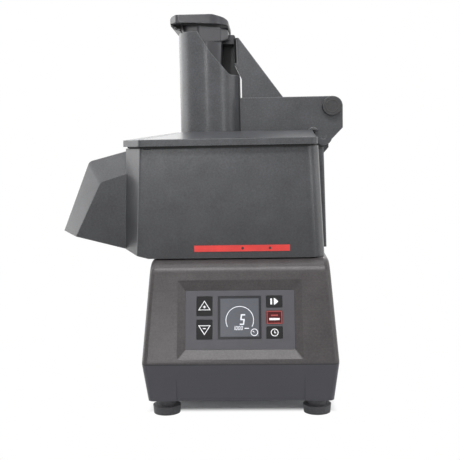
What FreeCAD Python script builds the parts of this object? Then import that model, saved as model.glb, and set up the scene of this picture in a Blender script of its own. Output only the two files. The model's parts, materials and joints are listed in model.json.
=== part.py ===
import FreeCAD, Part
import math
import os

# Table-top vegetable cutting machine, in millimetres.
# X points right and Y to the rear as seen from the control panel, and Z points up.
# Places are given from a point on the table straight under the axis of the cutting disc.
# The finished pieces are moved together so that the origin lies under the middle of the machine's box.

Vector = FreeCAD.Vector

# Fits and clearances
RUNNING_FIT = 0.05
SEAT_GAP = 0.2
SCREW_FIT = 0.05
KEY_CLEARANCE = 0.3
BELT_CLEARANCE = 0.3
TUBE_FIT = 0.1

# How far a cutting body runs past the face that it goes through
OVER = 1.0

# Motor base
FOOT_HEIGHT = 11.0
FOOT_RADIUS = 18.9
FOOT_NECK_RADIUS = 12.0
FOOT_X = 101.6
FOOT_FRONT_Y = -127.0
FOOT_REAR_Y = 92.0
BASE_BOTTOM_Z = 25.5
CREASE_Z = 76.9
DECK_Z = 208.3
FRONT_BOTTOM_Y = -164.0
FRONT_CREASE_Y = -172.0
REAR_Y = 137.0
FACE_TILT = 18.7
BASE_HALF_BOTTOM = 122.5
BASE_HALF_CREASE = 129.0
BASE_SIDE_TAPER = 4.2
BASE_CORNER_RADIUS = 8.0
CREASE_RADIUS = 14.0
DECK_FRONT_RADIUS = 28.0
DECK_REAR_RADIUS = 20.0
HOUSING_WALL = 3.0
BASE_PLATE_THICKNESS = 3.0
FRONT_STEP_HALF_WIDTH = 84.0
FRONT_STEP_TOP_Z = 62.0
FRONT_STEP_DEPTH = 1.5
BOSS_RADIUS = 7.0
BOSS_HEIGHT = 30.0
BOSS_X = 114.0
BOSS_YS = (-140.0, -15.0, 110.0)
SCREW_RADIUS = 2.0
SCREW_HEAD_RADIUS = 4.0
SCREW_HEAD_HEIGHT = 2.5
VENT_SLOTS = 9
VENT_PITCH = 10.0
VENT_WIDTH = 4.5
VENT_HEIGHT = 46.0
VENT_CENTRE_X = 52.0
VENT_BOTTOM_Z = 101.0

# Control panel, in its own frame: u to the right, v up the face, w out of the face
PANEL_CENTRE_Z = 132.2
PANEL_WIDTH = 144.0
PANEL_HEIGHT = 78.2
PANEL_RADIUS = 1.0
RECESS_WIDTH = 165.0
RECESS_HEIGHT = 104.6
RECESS_RADIUS = 2.0
RECESS_DEPTH = 7.0
FASCIA_THICKNESS = 2.0
TRAY_THICKNESS = 3.0
TRAY_WINDOW_HALF_U = 62.0
TRAY_WINDOW_V = (-30.3, 34.2)
DISPLAY_U = -0.4
DISPLAY_V = 3.0
DISPLAY_WIDTH = 57.4
DISPLAY_HEIGHT = 57.3
WINDOW_THICKNESS = 1.8
MODULE_THICKNESS = 7.5
KEY_PROUD = 0.4
KEY_FLANGE_THICKNESS = 1.0
KEY_FLANGE_RIM = 1.0
KEY_STEM_RADIUS = 2.5
KEY_TRAVEL = 0.8
KEY_RADIUS = 1.2
BOARD_GAP = 8.0
BOARD_THICKNESS = 1.6
BOARD_WIDTH = 137.0
BOARD_HEIGHT = 72.4
BOARD_V = 2.0
BOARD_RADIUS = 1.5
CHIP_SIZE = 26.0
CHIP_HEIGHT = 2.0
PLUG_LENGTH = 20.0
PLUG_WIDTH = 8.0
PLUG_HEIGHT = 6.0
PLUG_CENTRE = (34.0, -20.0)
STANDOFF_RADIUS = 2.2
STANDOFF_U = 65.2
STANDOFF_V = 27.4
SWITCH_SIZE = 6.0
KEYS = {
    "key_speed_up": (-46.8, 18.4, 20.6, 25.6),
    "key_speed_down": (-46.8, -12.6, 20.6, 25.6),
    "key_start": (45.5, 23.8, 21.0, 15.6),
    "key_stop": (45.5, 2.8, 21.0, 17.6),
    "key_timer": (45.5, -17.2, 21.0, 15.6),
}

# Drive inside the base
CHASSIS_Z = 177.0
CHASSIS_THICKNESS = 4.0
CHASSIS_HALF_X = 100.0
CHASSIS_Y = (-70.0, 116.0)
CHASSIS_POST_X = 90.0
CHASSIS_POST_YS = (-55.0, 104.0)
CHASSIS_POST_RADIUS = 6.0
SHAFT_RADIUS = 12.5
SHAFT_TOP_RADIUS = 9.0
SHAFT_BOTTOM_Z = 35.0
SPIGOT_RADIUS = 24.0
SPIGOT_TOP_Z = 249.0
SPIGOT_FLANGE_THICKNESS = 5.0
SPIGOT_CLEARANCE = 1.0
SPINDLE_FLANGE_RADIUS = 46.0
SPINDLE_FLANGE_THICKNESS = 6.0
BEARING_HOUSING_RADIUS = 31.0
BEARING_HOUSING_BOTTOM_Z = 121.0
BEARING_RADIUS = 26.0
BEARING_WIDTH = 15.0
BEARING_RACE = 4.2
BEARING_GROOVE = 1.5
BEARING_SHOULDER_RADIUS = 22.0
SPINDLE_BOLT_CIRCLE = 38.5
SPINDLE_BOLT_RADIUS = 3.0
SPINDLE_BOLT_HEAD_RADIUS = 5.0
SEAL_RADIUS = 19.0
SEAL_WIDTH = 6.0
PULLEY_BOTTOM_Z = 39.5
PULLEY_WIDTH = 16.0
PULLEY_FLANGE = 2.0
DRIVEN_PULLEY_RADIUS = 50.0
MOTOR_PULLEY_RADIUS = 17.0
PULLEY_HUB_RADIUS = 20.0
BELT_THICKNESS = 3.0
MOTOR_X = 60.0
MOTOR_Y = 62.0
MOTOR_RADIUS = 46.0
MOTOR_WALL = 5.0
MOTOR_FINS = 12
MOTOR_FIN_DEPTH = 2.5
MOTOR_FIN_WIDTH = 3.0
MOTOR_SHAFT_GAP = 2.0
MOTOR_BOTTOM_Z = 71.0
STATOR_INNER_RADIUS = 26.0
ROTOR_GAP = 0.6
CORE_MARGIN = 10.0
MOTOR_SHAFT_RADIUS = 7.0
FAN_RADIUS = 40.0
FAN_HEIGHT = 10.0
FAN_HUB_RADIUS = 12.0
FAN_BLADES = 9
FAN_WALL = 2.0
FAN_GAP = 2.0
DRIVE_BOARD_X = (-105.0, -57.0)
DRIVE_BOARD_Y = (-20.0, 88.0)
DRIVE_POST_HEIGHT = 6.0
DRIVE_POST_INSET = 5.0
DRIVE_POST_RADIUS = 3.0
CAPACITORS = 2
CAPACITOR_PITCH = 24.0
CAPACITOR_RADIUS = 10.0
CAPACITOR_HEIGHT = 30.0
SINK_LENGTH = 44.0
SINK_BASE = 5.0
SINK_FINS = 6
SINK_FIN = 2.0
SINK_PITCH = 6.4
SINK_HEIGHT = 24.0
GLAND_X = -75.0
GLAND_Z = 55.5
GLAND_RADIUS = 8.0
GLAND_NUT_RADIUS = 12.0
GLAND_NUT_WIDTH = 5.0
GLAND_NOSE_RADIUS = 6.5
GLAND_NOSE_LENGTH = 9.0
GLAND_BORE_RADIUS = 4.0

# Bowl and chute
BOWL_TOP_Z = 357.2
BOWL_WALL = 4.0
BOWL_BOTTOM_PLAN = ((115.0, -118.0), (115.0, 118.0), (-138.4, 118.0),
                    (-160.2, 80.0), (-160.2, -80.0), (-138.4, -118.0))
BOWL_TOP_INSET_X = 7.0
BOWL_TOP_INSET_Y = 6.0
BOWL_TOP_INSET_FLANK = 3.6
BOWL_CORNER_RADII = (22.0, 22.0, 4.0, 4.0, 4.0, 4.0)
UNDERCUT_START_X = -123.0
UNDERCUT_SLOPE = 14.5
DOME_FOOT_RADIUS = 46.0
DOME_TOP_RADIUS = 30.0
DOME_TOP_Z = 255.0
DOME_WALL = 3.0
DOME_HOLE_RADIUS = 11.5
OUTLET_HALF_Y = 68.0
OUTLET_SILL = 8.0
OUTLET_TOP_Z = 333.0
CHUTE_WALL = 3.5
CHUTE_HALF_Y = 78.0
CHUTE_SHOULDER_HALF_Y = 48.0
CHUTE_RIDGE_Z = 353.5
CHUTE_BROW = (-213.5, 339.8)
CHUTE_TIP_X = -252.8
CHUTE_FRONT_RIDGE_Z = 321.5
CHUTE_FRONT_BROW = (-192.5, 311.5)
CHUTE_FRONT_TIP_X = -229.5
CHUTE_BROW_RADIUS = 9.0
CHUTE_SEAM_LAP = 20.0
CHUTE_FOOT_DROP = 40.0
MARKER_LENGTH = 128.5
MARKER_HEIGHT = 8.5
MARKER_THICKNESS = 0.8
MARKER_CENTRE_X = 3.4
MARKER_CENTRE_Z = 221.6
MARKER_DOTS_X = (4.3, 41.0)
MARKER_DOT_RADIUS = 1.8
LOCATOR_X = 70.0
LOCATOR_Y = 70.0
LOCATOR_RADIUS = 5.0
LOCATOR_HEIGHT = 3.0
LOCATOR_PLAY = 0.5
NOTCH_X = (-128.0, -115.0)
NOTCH_DEPTH = 2.0

# Lid hinge and its post
LID_PIN_X = 119.0
LID_PIN_Z = 369.5
LID_PIN_RADIUS = 4.0
POST_HALF_Y = 25.0
POST_BOTTOM_Z = 211.0
POST_TOP_Z = 354.0
POST_TOP_X = 120.0
POST_BOTTOM_X = 123.2
POST_CORNER_RADIUS = 4.0
LUG_HALF_Y = 20.0
LUG_RADIUS = 8.0

# Lid
LID_BOTTOM_Z = 359.5
LID_RIM_HEIGHT = 9.0
LID_TOP_Z = 378.4
LID_WALL = 3.5
LID_PLAN = ((106.0, -121.0), (106.0, 121.0), (-131.7, 121.0),
            (-159.8, 76.0), (-159.8, -76.0), (-131.7, -121.0))
LID_RADII = (8.0, 8.0, 5.0, 5.0, 5.0, 5.0)
PLATEAU_PLAN = ((101.0, -72.0), (101.0, 72.0), (-74.0, 72.0),
                (-87.0, 48.0), (-87.0, -48.0), (-74.0, -72.0))
PLATEAU_RADIUS = 6.0
CROWN_LEDGE = 1.0
SKIRT_DROP = 8.5
SKIRT_GAP = 1.6
SKIRT_WALL = 3.0
SEAL_BAND = (2.2, 4.4)

# Feed hopper
TUBE_BOTTOM_Z = 340.0
TUBE_TOP_Z = 516.0
TUBE_CENTRE_X = -41.0
TUBE_HALF_WIDTH = 42.4
TUBE_STRAIGHT_HALF = 27.0
TUBE_DRAFT = 0.2
TUBE_WALL = 3.5
TUBE_CUT_START_X = -54.8
TUBE_CUT_KNEE = (-38.5, 488.5)
TUBE_CUT_END_X = -12.0
TUBE_LOW_Z = 456.8
TUBE_KNEE_RADIUS = 60.0
TUBE_CUT_RADIUS = 8.0

# Lever bracket
BRACKET_OUTER_Y = 32.0
BRACKET_WALL = 3.5
BRACKET_TOP_Z = 426.0
BRACKET_END_X = 146.5
BRACKET_CHAMFER_Z = 381.6
BRACKET_CHAMFER_X = 127.0
BRACKET_HEEL_Z = 361.6
BRACKET_KNUCKLE_RADIUS = 12.5
BRACKET_FLOOR_THICKNESS = 3.5
BRACKET_BOSS_X = 104.2
BRACKET_BOSS_RADIUS = 8.0
BRACKET_BOSS_LENGTH = 6.0
BRACKET_EDGE_RADIUS = 2.0
BRACKET_BOSS_DROP = 4.0
BRACKET_STOP_BOTTOM_Z = 384.6
BRACKET_STOP_TOP_Z = 407.5
LID_PIN_COVER = 0.5
LID_PIN_PLAY = 0.1

# Lever, pusher and handle
PIVOT_X = 131.0
PIVOT_Z = 412.1
PIVOT_PIN_RADIUS = 5.0
PIVOT_CAP_RADIUS = 13.7
PIVOT_PIN_TAIL = 6.0
KNOB_THICKNESS = 8.0
KNOB_EDGE_RADIUS = 1.2
ARM_HALF_Y = 26.0
ARM_WALL = 3.2
ARM_END_RADIUS = 11.0
ARM_HEEL_REACH = 20.0
ARM_RADII = (0.0, 0.0, 0.0, 0.0, 0.0, 4.0, 3.0, 6.0, 6.0)
ARM_BOTTOM_Z = 390.5
ARM_LEFT_X = 4.2
FIN_TIP = (0.5, 510.5)
FIN_LEFT_X = -6.0
FIN_NECK_Z = 475.0
FIN_HEEL_Z = 453.0
FIN_FOOT = (62.5, 426.2)
FIN_BEVEL = 6.0
HEAD_BOTTOM_Z = 502.5
HEAD_PLAN = ((-13.6, -36.0), (-13.6, 36.0), (-22.4, 60.0), (-54.0, 60.0),
             (-76.9, 36.0), (-76.9, -36.0), (-54.0, -60.0), (-22.4, -60.0))
HEAD_RADII = (8.0, 8.0, 2.0, 5.0, 8.0, 8.0, 5.0, 2.0)
HEAD_HEEL_RISE = 6.0
HEAD_WALL = 5.0
HEAD_HOLLOW_RISE = 14.0
HEAD_HOLLOW_RADIUS = 3.0
NECK_LAP = 9.0
NECK_HALF_Y = 20.0
NECK_TOP_Z = 515.3
NECK_HOOK = 1.6
NECK_RADIUS = 3.0
WEB_THICKNESS = 9.0
WEB_BOTTOM_Z = 459.5
CAP_LEFT_X = -93.7
CAP_RIGHT_X = -12.6
HEAD_HEIGHT = 26.1
CAP_THICKNESS = 9.6
CAP_BOTTOM_LEFT_Z = HEAD_BOTTOM_Z + HEAD_HEIGHT
CAP_TOP_Z = CAP_BOTTOM_LEFT_Z + CAP_THICKNESS
CAP_BOTTOM_FALL = 4.2
CAP_BOTTOM_RIGHT_Z = CAP_BOTTOM_LEFT_Z - CAP_BOTTOM_FALL
CAP_HALF_Y = 67.0
CAP_BROW_X = -34.0
CAP_SHOULDER_X = -19.0
CAP_SHOULDER_DROP = 3.7
CAP_RIGHT_DROP = 7.2
CAP_EDGE_WIDTH = 8.0
CAP_EDGE_DROP = 1.0
CAP_SIDE_RADII = (0.0, 5.0, 10.0, 18.0, 10.0, 3.0, 0.0)
CAP_LEFT_CUT = (10.0, 20.0)
CAP_RIGHT_RADIUS = 25.0
CAP_PLAN_RADIUS = 5.0
CAP_LIP_HALF_Y = 40.0
CAP_LIP_DEPTH = 8.5
CAP_LIP_WIDTH = 13.0
CAP_LIP_WALL = 4.0
PUSHER_BOTTOM_Z = 342.0
PUSHER_FOOT_TOP_Z = 367.0
PUSHER_CLEARANCE = 1.4
PUSHER_STRAIGHT_HALF = 23.5
PUSHER_FLAT_TOP_X = -22.4
PUSHER_FLAT_BOTTOM_X = -29.5
PUSHER_FOOT_CENTRE_X = -36.0
PUSHER_FOOT_HALF_WIDTH = 30.0
PUSHER_WALL = 4.0
LEVER_SCREW_RADIUS = 2.0
LEVER_SCREW_HEAD_RADIUS = 3.6
LEVER_SCREW_HEAD_HEIGHT = 3.0
LEVER_SCREW_LENGTH = 10.0
LEVER_SCREW_ZS = (482.0, 497.0)

# Discs on the shaft
DISC_RADIUS = 102.0
DISC_Z = 331.0
DISC_THICKNESS = 2.5
DISC_HUB_RADIUS = 22.0
DISC_HUB_HEIGHT = 28.0
BLADE_LENGTH = 66.0
BLADE_WIDTH = 17.0
BLADE_THICKNESS = 1.5
BLADE_START = 28.0
BLADE_SLOT = 9.0
BLADE_COUNT = 2
BLADE_LIFT = 3.0
BLADE_EDGE = 5.0
BLADE_SCREW_INSET = 10.0
EJECTOR_Z = 277.0
EJECTOR_RADIUS = 98.0
EJECTOR_THICKNESS = 3.0
EJECTOR_HUB_RADIUS = 26.0
EJECTOR_HUB_HEIGHT = 24.0
EJECTOR_VANES = 6
VANE_HEIGHT = 20.0
VANE_THICKNESS = 4.0
VANE_LEAN = 12.0
DRIVE_PIN_RADIUS = 2.5
DRIVE_PIN_LENGTH = 34.0
DRIVE_PIN_Z = 317.0


def tangent(degrees):
    return math.tan(math.radians(degrees))


def box(x_range, y_range, z_range):
    """Box between the given pairs of limits."""
    corner = Vector(min(x_range), min(y_range), min(z_range))
    return Part.makeBox(max(x_range) - min(x_range), max(y_range) - min(y_range),
                        max(z_range) - min(z_range), corner)


def rod(radius, x, y, z_range):
    """Upright cylinder between two heights."""
    return Part.makeCylinder(radius, max(z_range) - min(z_range), Vector(x, y, min(z_range)))


def cross_rod(radius, x, z, y_range):
    """Cylinder that lies along Y."""
    length = max(y_range) - min(y_range)
    return Part.makeCylinder(radius, length, Vector(x, min(y_range), z), Vector(0, 1, 0))


def ring(outer, inner, x, y, z_range):
    """Upright tube between two heights."""
    return rod(outer, x, y, z_range).cut(rod(inner, x, y, (min(z_range) - 1.0, max(z_range) + 1.0)))


def drilled(shape, radius, places, low_z, high_z):
    """Shape with an upright hole at each place."""
    for x, y in places:
        shape = shape.cut(rod(radius, x, y, (low_z, high_z)))
    return shape


def bored(shape, radius, x, z, half_y):
    """Shape with a hole along Y."""
    return shape.cut(cross_rod(radius, x, z, (-half_y, half_y)))


def fuse_all(shapes):
    """One shape from several that touch or overlap."""
    result = shapes[0]
    for shape in shapes[1:]:
        result = result.fuse(shape)
    return result.removeSplitter()


def inset_polygon(points, distance):
    """Outline moved inwards by one distance, or outwards when it is negative."""
    count = len(points)
    area = 0.0
    for index in range(count):
        here = points[index]
        after = points[(index + 1) % count]
        area += here[0] * after[1] - after[0] * here[1]
    side = 1.0 if area > 0 else -1.0

    def moved_line(start, end):
        dx = end[0] - start[0]
        dy = end[1] - start[1]
        length = math.hypot(dx, dy)
        shift = (-dy / length * side * distance, dx / length * side * distance)
        return (start[0] + shift[0], start[1] + shift[1], dx, dy)

    result = []
    for index in range(count):
        x1, y1, dx1, dy1 = moved_line(points[index - 1], points[index])
        x2, y2, dx2, dy2 = moved_line(points[index], points[(index + 1) % count])
        along = ((x2 - x1) * dy2 - (y2 - y1) * dx2) / (dx1 * dy2 - dy1 * dx2)
        result.append((x1 + along * dx1, y1 + along * dy1))
    return result


def rounded_wire(points, radii, place):
    """Closed outline with an arc at each corner that has a radius."""
    count = len(points)
    corners = []
    for index in range(count):
        corner = Vector(points[index][0], points[index][1], 0)
        before = Vector(points[index - 1][0], points[index - 1][1], 0)
        after = Vector(points[(index + 1) % count][0], points[(index + 1) % count][1], 0)
        radius = radii[index]
        if radius <= 0:
            corners.append((corner, None, corner))
            continue
        back = (before - corner).normalize()
        ahead = (after - corner).normalize()
        angle = back.getAngle(ahead)
        reach = radius / math.tan(angle / 2)
        middle = corner + (back + ahead).normalize() * (radius / math.sin(angle / 2) - radius)
        corners.append((corner + back * reach, middle, corner + ahead * reach))
    edges = []
    for index in range(count):
        start, middle, end = corners[index]
        following = corners[(index + 1) % count][0]
        if middle is not None:
            arc = Part.Arc(place(start.x, start.y), place(middle.x, middle.y), place(end.x, end.y))
            edges.append(arc.toShape())
        if (following - end).Length > 1e-6:
            edges.append(Part.LineSegment(place(end.x, end.y), place(following.x, following.y)).toShape())
    return Part.Wire(edges)


def level(height):
    """Places plan coordinates at one height."""
    return lambda x, y: Vector(x, y, height)


def upright(y):
    """Places side-view coordinates, X and Z, at one Y."""
    return lambda x, z: Vector(x, y, z)


def side_plate(points, radii, y_range):
    """Outline in X and Z, extruded along Y."""
    wire = rounded_wire(points, radii, upright(min(y_range)))
    return Part.Face(wire).extrude(Vector(0, max(y_range) - min(y_range), 0))


def prism(points, radii, z_range):
    """Outline in plan, extruded upwards."""
    wire = rounded_wire(points, radii, level(min(z_range)))
    return Part.Face(wire).extrude(Vector(0, 0, max(z_range) - min(z_range)))


def frustum(bottom, bottom_radii, bottom_z, top, top_radii, top_z):
    """Straight-sided body between two outlines at two heights."""
    lower = rounded_wire(bottom, bottom_radii, level(bottom_z))
    upper = rounded_wire(top, top_radii, level(top_z))
    return Part.makeLoft([lower, upper], True, True)


def smaller(radii, distance):
    """Corner radii of an outline that is moved inwards."""
    return [max(radius - distance, 0.5) if radius > 0 else 0.0 for radius in radii]


def rectangle(width, height, centre=(0.0, 0.0)):
    """Corners of a centred rectangle."""
    left = centre[0] - width / 2
    right = centre[0] + width / 2
    low = centre[1] - height / 2
    high = centre[1] + height / 2
    return ((left, low), (right, low), (right, high), (left, high))


# Frame of the control panel, whose plane is the sloping front of the base
PANEL_ORIGIN_Y = FRONT_CREASE_Y + (PANEL_CENTRE_Z - CREASE_Z) * tangent(FACE_TILT)
PANEL_PLACEMENT = FreeCAD.Placement(Vector(0, PANEL_ORIGIN_Y, PANEL_CENTRE_Z),
                                    FreeCAD.Rotation(Vector(1, 0, 0), 90.0 - FACE_TILT))
FASCIA_BACK_W = -RECESS_DEPTH
FASCIA_FRONT_W = FASCIA_BACK_W + FASCIA_THICKNESS
TRAY_BACK_W = FASCIA_BACK_W - TRAY_THICKNESS
BOARD_FRONT_W = TRAY_BACK_W - BOARD_GAP
BOARD_BACK_W = BOARD_FRONT_W - BOARD_THICKNESS
KEY_STEM_END_W = BOARD_FRONT_W + 4.4

BASE_HALF_DECK = BASE_HALF_CREASE - (DECK_Z - CREASE_Z) * tangent(BASE_SIDE_TAPER)
FACE_TOP_Y = FRONT_CREASE_Y + (DECK_Z - CREASE_Z) * tangent(FACE_TILT)
BASE_PLATE_TOP_Z = BASE_BOTTOM_Z + BASE_PLATE_THICKNESS
CHASSIS_TOP_Z = CHASSIS_Z + CHASSIS_THICKNESS
SPINDLE_FLANGE_TOP_Z = CHASSIS_TOP_Z + SPINDLE_FLANGE_THICKNESS
SPIGOT_FLANGE_TOP_Z = SPINDLE_FLANGE_TOP_Z + SPIGOT_FLANGE_THICKNESS
PULLEY_TOP_Z = PULLEY_BOTTOM_Z + PULLEY_WIDTH
BOWL_BOTTOM_Z = DECK_Z + SEAT_GAP
RIM_TOP_Z = LID_BOTTOM_Z + LID_RIM_HEIGHT
DISC_TOP_Z = DISC_Z + DISC_THICKNESS


def on_panel(shape):
    """Moves a shape from the panel's own frame into the machine's."""
    moved = shape.copy()
    moved.Placement = PANEL_PLACEMENT.multiply(moved.Placement)
    return moved


# Motor base

def base_block(inset):
    """Outer form of the base, or the same form moved inwards by one distance."""
    profile = [(FRONT_BOTTOM_Y, BASE_BOTTOM_Z), (FRONT_CREASE_Y, CREASE_Z), (FACE_TOP_Y, DECK_Z),
               (REAR_Y, DECK_Z), (REAR_Y, BASE_BOTTOM_Z)]
    profile_radii = [0.0, CREASE_RADIUS, DECK_FRONT_RADIUS, DECK_REAR_RADIUS, 0.0]
    sides = [(-BASE_HALF_BOTTOM, BASE_BOTTOM_Z), (-BASE_HALF_CREASE, CREASE_Z), (-BASE_HALF_DECK, DECK_Z),
             (BASE_HALF_DECK, DECK_Z), (BASE_HALF_CREASE, CREASE_Z), (BASE_HALF_BOTTOM, BASE_BOTTOM_Z)]
    sides_radii = [0.0, CREASE_RADIUS, 0.0, 0.0, CREASE_RADIUS, 0.0]
    if inset > 0:
        profile = inset_polygon(profile, inset)
        sides = inset_polygon(sides, inset)
        profile_radii = smaller(profile_radii, inset)
        sides_radii = smaller(sides_radii, inset)
    reach = 2 * BASE_HALF_CREASE
    depth = REAR_Y - FRONT_CREASE_Y
    front_wire = rounded_wire(profile, profile_radii, lambda y, z: Vector(-reach, y, z))
    front_form = Part.Face(front_wire).extrude(Vector(2 * reach, 0, 0))
    side_form = side_plate(sides, sides_radii, (FRONT_CREASE_Y - depth, REAR_Y + depth))
    block = front_form.common(side_form)
    # The ring of edges round each side face, but not the bottom edge
    side_start_x = BASE_HALF_DECK - inset - 1.0
    ring_edges = []
    for edge in block.Edges:
        span = edge.BoundBox
        centre = edge.CenterOfMass
        along_crease = span.YLength > 5.0 and span.ZLength < 1.0 and centre.z < DECK_Z - DECK_REAR_RADIUS
        if abs(centre.x) > side_start_x and span.XLength < BASE_HALF_DECK and not along_crease:
            ring_edges.append(edge)
    return block.makeFillet(BASE_CORNER_RADIUS - inset, ring_edges)


def floor_slab(inset, low_z, high_z):
    """Flat slab with the plan of the base's foot, moved inwards by one distance."""
    slab_z = BASE_BOTTOM_Z + inset
    reach = 2 * BASE_HALF_CREASE
    layer = box((-reach, reach), (-reach, reach), (slab_z, slab_z + high_z - low_z))
    slab = base_block(inset).common(layer)
    slab.translate(Vector(0, 0, low_z - slab_z))
    return slab


def base_housing():
    outer = base_block(0.0)
    inner = base_block(HOUSING_WALL)
    tray = on_panel(prism(rectangle(RECESS_WIDTH, RECESS_HEIGHT), (RECESS_RADIUS,) * 4, (TRAY_BACK_W, 0.0)))
    shell = outer.cut(inner.cut(tray)).cut(floor_slab(HOUSING_WALL, BASE_BOTTOM_Z - OVER, BASE_PLATE_TOP_Z))
    for x, y in boss_places():
        boss = rod(BOSS_RADIUS, x, y, (BASE_PLATE_TOP_Z, BASE_PLATE_TOP_Z + BOSS_HEIGHT))
        shell = shell.fuse(boss.common(outer))
    shell = drilled(shell, SCREW_RADIUS + SCREW_FIT, boss_places(), BASE_BOTTOM_Z,
                    BASE_PLATE_TOP_Z + BOSS_HEIGHT / 2)
    shell = shell.cut(on_panel(panel_recess())).cut(front_step())
    inside_deck = DECK_Z - 2 * HOUSING_WALL
    shell = drilled(shell, SPIGOT_RADIUS + SEAT_GAP, [(0, 0)], inside_deck, DECK_Z + OVER)
    shell = drilled(shell, LOCATOR_RADIUS / 2 + SCREW_FIT, locator_places(), inside_deck, DECK_Z + OVER)
    rear_wall = (REAR_Y - 2 * HOUSING_WALL, REAR_Y + OVER)
    for index in range(VENT_SLOTS):
        x = VENT_CENTRE_X + (index - (VENT_SLOTS - 1) / 2) * VENT_PITCH
        slot = box((x - VENT_WIDTH / 2, x + VENT_WIDTH / 2), rear_wall,
                   (VENT_BOTTOM_Z, VENT_BOTTOM_Z + VENT_HEIGHT))
        shell = shell.cut(slot)
    return shell.cut(cross_rod(GLAND_RADIUS + SCREW_FIT, GLAND_X, GLAND_Z, rear_wall))


def panel_recess():
    """Space of the bevelled recess, the fascia's pocket and the window behind it, in the panel's frame."""
    mouth_outline = rectangle(RECESS_WIDTH, RECESS_HEIGHT)
    pocket_outline = rectangle(PANEL_WIDTH + 2 * SEAT_GAP, PANEL_HEIGHT + 2 * SEAT_GAP)
    mouth_radii = (RECESS_RADIUS,) * 4
    pocket_radii = (PANEL_RADIUS,) * 4
    bevel = frustum(pocket_outline, pocket_radii, FASCIA_FRONT_W, mouth_outline, mouth_radii, 0.0)
    pocket = prism(pocket_outline, pocket_radii, (FASCIA_BACK_W, FASCIA_FRONT_W))
    mouth = prism(mouth_outline, mouth_radii, (0.0, OVER))
    window = box((-TRAY_WINDOW_HALF_U, TRAY_WINDOW_HALF_U), TRAY_WINDOW_V,
                 (TRAY_BACK_W - OVER, FASCIA_BACK_W))
    return bevel.fuse(pocket).fuse(mouth).fuse(window)


def front_step():
    """Wedge that is cut away from the front below the crease and fades out upwards."""
    low_z = BASE_BOTTOM_Z - OVER
    slope = (FRONT_CREASE_Y - FRONT_BOTTOM_Y) / (CREASE_Z - BASE_BOTTOM_Z)
    low_y = FRONT_BOTTOM_Y + slope * (low_z - BASE_BOTTOM_Z)
    top_y = FRONT_BOTTOM_Y + slope * (FRONT_STEP_TOP_Z - BASE_BOTTOM_Z)
    side = ((low_y + FRONT_STEP_DEPTH, low_z), (top_y, FRONT_STEP_TOP_Z),
            (top_y - FRONT_STEP_DEPTH, FRONT_STEP_TOP_Z),
            (low_y - FRONT_STEP_DEPTH, low_z))
    wire = rounded_wire(side, (0.0,) * len(side), lambda y, z: Vector(-FRONT_STEP_HALF_WIDTH, y, z))
    wedge = Part.Face(wire).extrude(Vector(2 * FRONT_STEP_HALF_WIDTH, 0, 0))
    return wedge.cut(floor_slab(FRONT_STEP_DEPTH, low_z, BASE_PLATE_TOP_Z))


def boss_places():
    return [(side * BOSS_X, y) for side in (-1.0, 1.0) for y in BOSS_YS]


def base_plate():
    plate = floor_slab(HOUSING_WALL + SEAT_GAP, BASE_BOTTOM_Z, BASE_PLATE_TOP_Z)
    return drilled(plate, SCREW_RADIUS + SCREW_FIT, boss_places() + foot_places(),
                   BASE_BOTTOM_Z - OVER, BASE_PLATE_TOP_Z + OVER)


def base_plate_screws():
    screws = []
    for x, y in boss_places():
        head = rod(SCREW_HEAD_RADIUS, x, y, (BASE_BOTTOM_Z - SCREW_HEAD_HEIGHT, BASE_BOTTOM_Z))
        shank = rod(SCREW_RADIUS, x, y, (BASE_BOTTOM_Z, BASE_PLATE_TOP_Z + BOSS_HEIGHT / 2 - OVER))
        screws.append(fuse_all([head, shank]))
    return Part.makeCompound(screws)


def foot_places():
    return [(side * FOOT_X, y) for y in (FOOT_FRONT_Y, FOOT_REAR_Y) for side in (-1.0, 1.0)]


def foot(x, y):
    """Rubber foot with a neck, bored for its screw."""
    pad = Part.makeCone(FOOT_RADIUS - 1.0, FOOT_RADIUS, FOOT_HEIGHT, Vector(x, y, 0))
    neck = rod(FOOT_NECK_RADIUS, x, y, (FOOT_HEIGHT, BASE_BOTTOM_Z))
    body = pad.fuse(neck)
    body = body.cut(rod(SCREW_HEAD_RADIUS + 1.0, x, y, (-1.0, FOOT_HEIGHT / 2)))
    return body.cut(rod(SCREW_RADIUS + SCREW_FIT, x, y, (0.0, BASE_BOTTOM_Z + 1.0)))


def foot_screws():
    screws = []
    for x, y in foot_places():
        head = rod(SCREW_HEAD_RADIUS, x, y, (FOOT_HEIGHT / 2 - SCREW_HEAD_HEIGHT, FOOT_HEIGHT / 2))
        shank = rod(SCREW_RADIUS, x, y, (FOOT_HEIGHT / 2, BASE_PLATE_TOP_Z + 6.0))
        nut = rod(SCREW_HEAD_RADIUS, x, y, (BASE_PLATE_TOP_Z, BASE_PLATE_TOP_Z + 3.0))
        screws.append(fuse_all([head, shank, nut]))
    return Part.makeCompound(screws)


# Control panel

def key_outline(name, growth):
    """Outline of one key, made larger on every side by one distance."""
    u, v, width, height = KEYS[name]
    return rectangle(width + 2 * growth, height + 2 * growth, (u, v))


def panel_fascia():
    outline = rectangle(PANEL_WIDTH, PANEL_HEIGHT)
    plate = prism(outline, (PANEL_RADIUS,) * 4, (FASCIA_BACK_W, FASCIA_FRONT_W))
    deep = (FASCIA_BACK_W - OVER, FASCIA_FRONT_W + OVER)
    opening = rectangle(DISPLAY_WIDTH, DISPLAY_HEIGHT, (DISPLAY_U, DISPLAY_V))
    plate = plate.cut(prism(opening, (KEY_RADIUS,) * 4, deep))
    for name in KEYS:
        plate = plate.cut(prism(key_outline(name, KEY_CLEARANCE), (KEY_RADIUS + KEY_CLEARANCE,) * 4, deep))
    return on_panel(plate)


def display_window():
    outline = rectangle(DISPLAY_WIDTH - 2 * SEAT_GAP, DISPLAY_HEIGHT - 2 * SEAT_GAP, (DISPLAY_U, DISPLAY_V))
    front = FASCIA_FRONT_W - SEAT_GAP
    return on_panel(prism(outline, (KEY_RADIUS,) * 4, (front - WINDOW_THICKNESS, front)))


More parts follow.
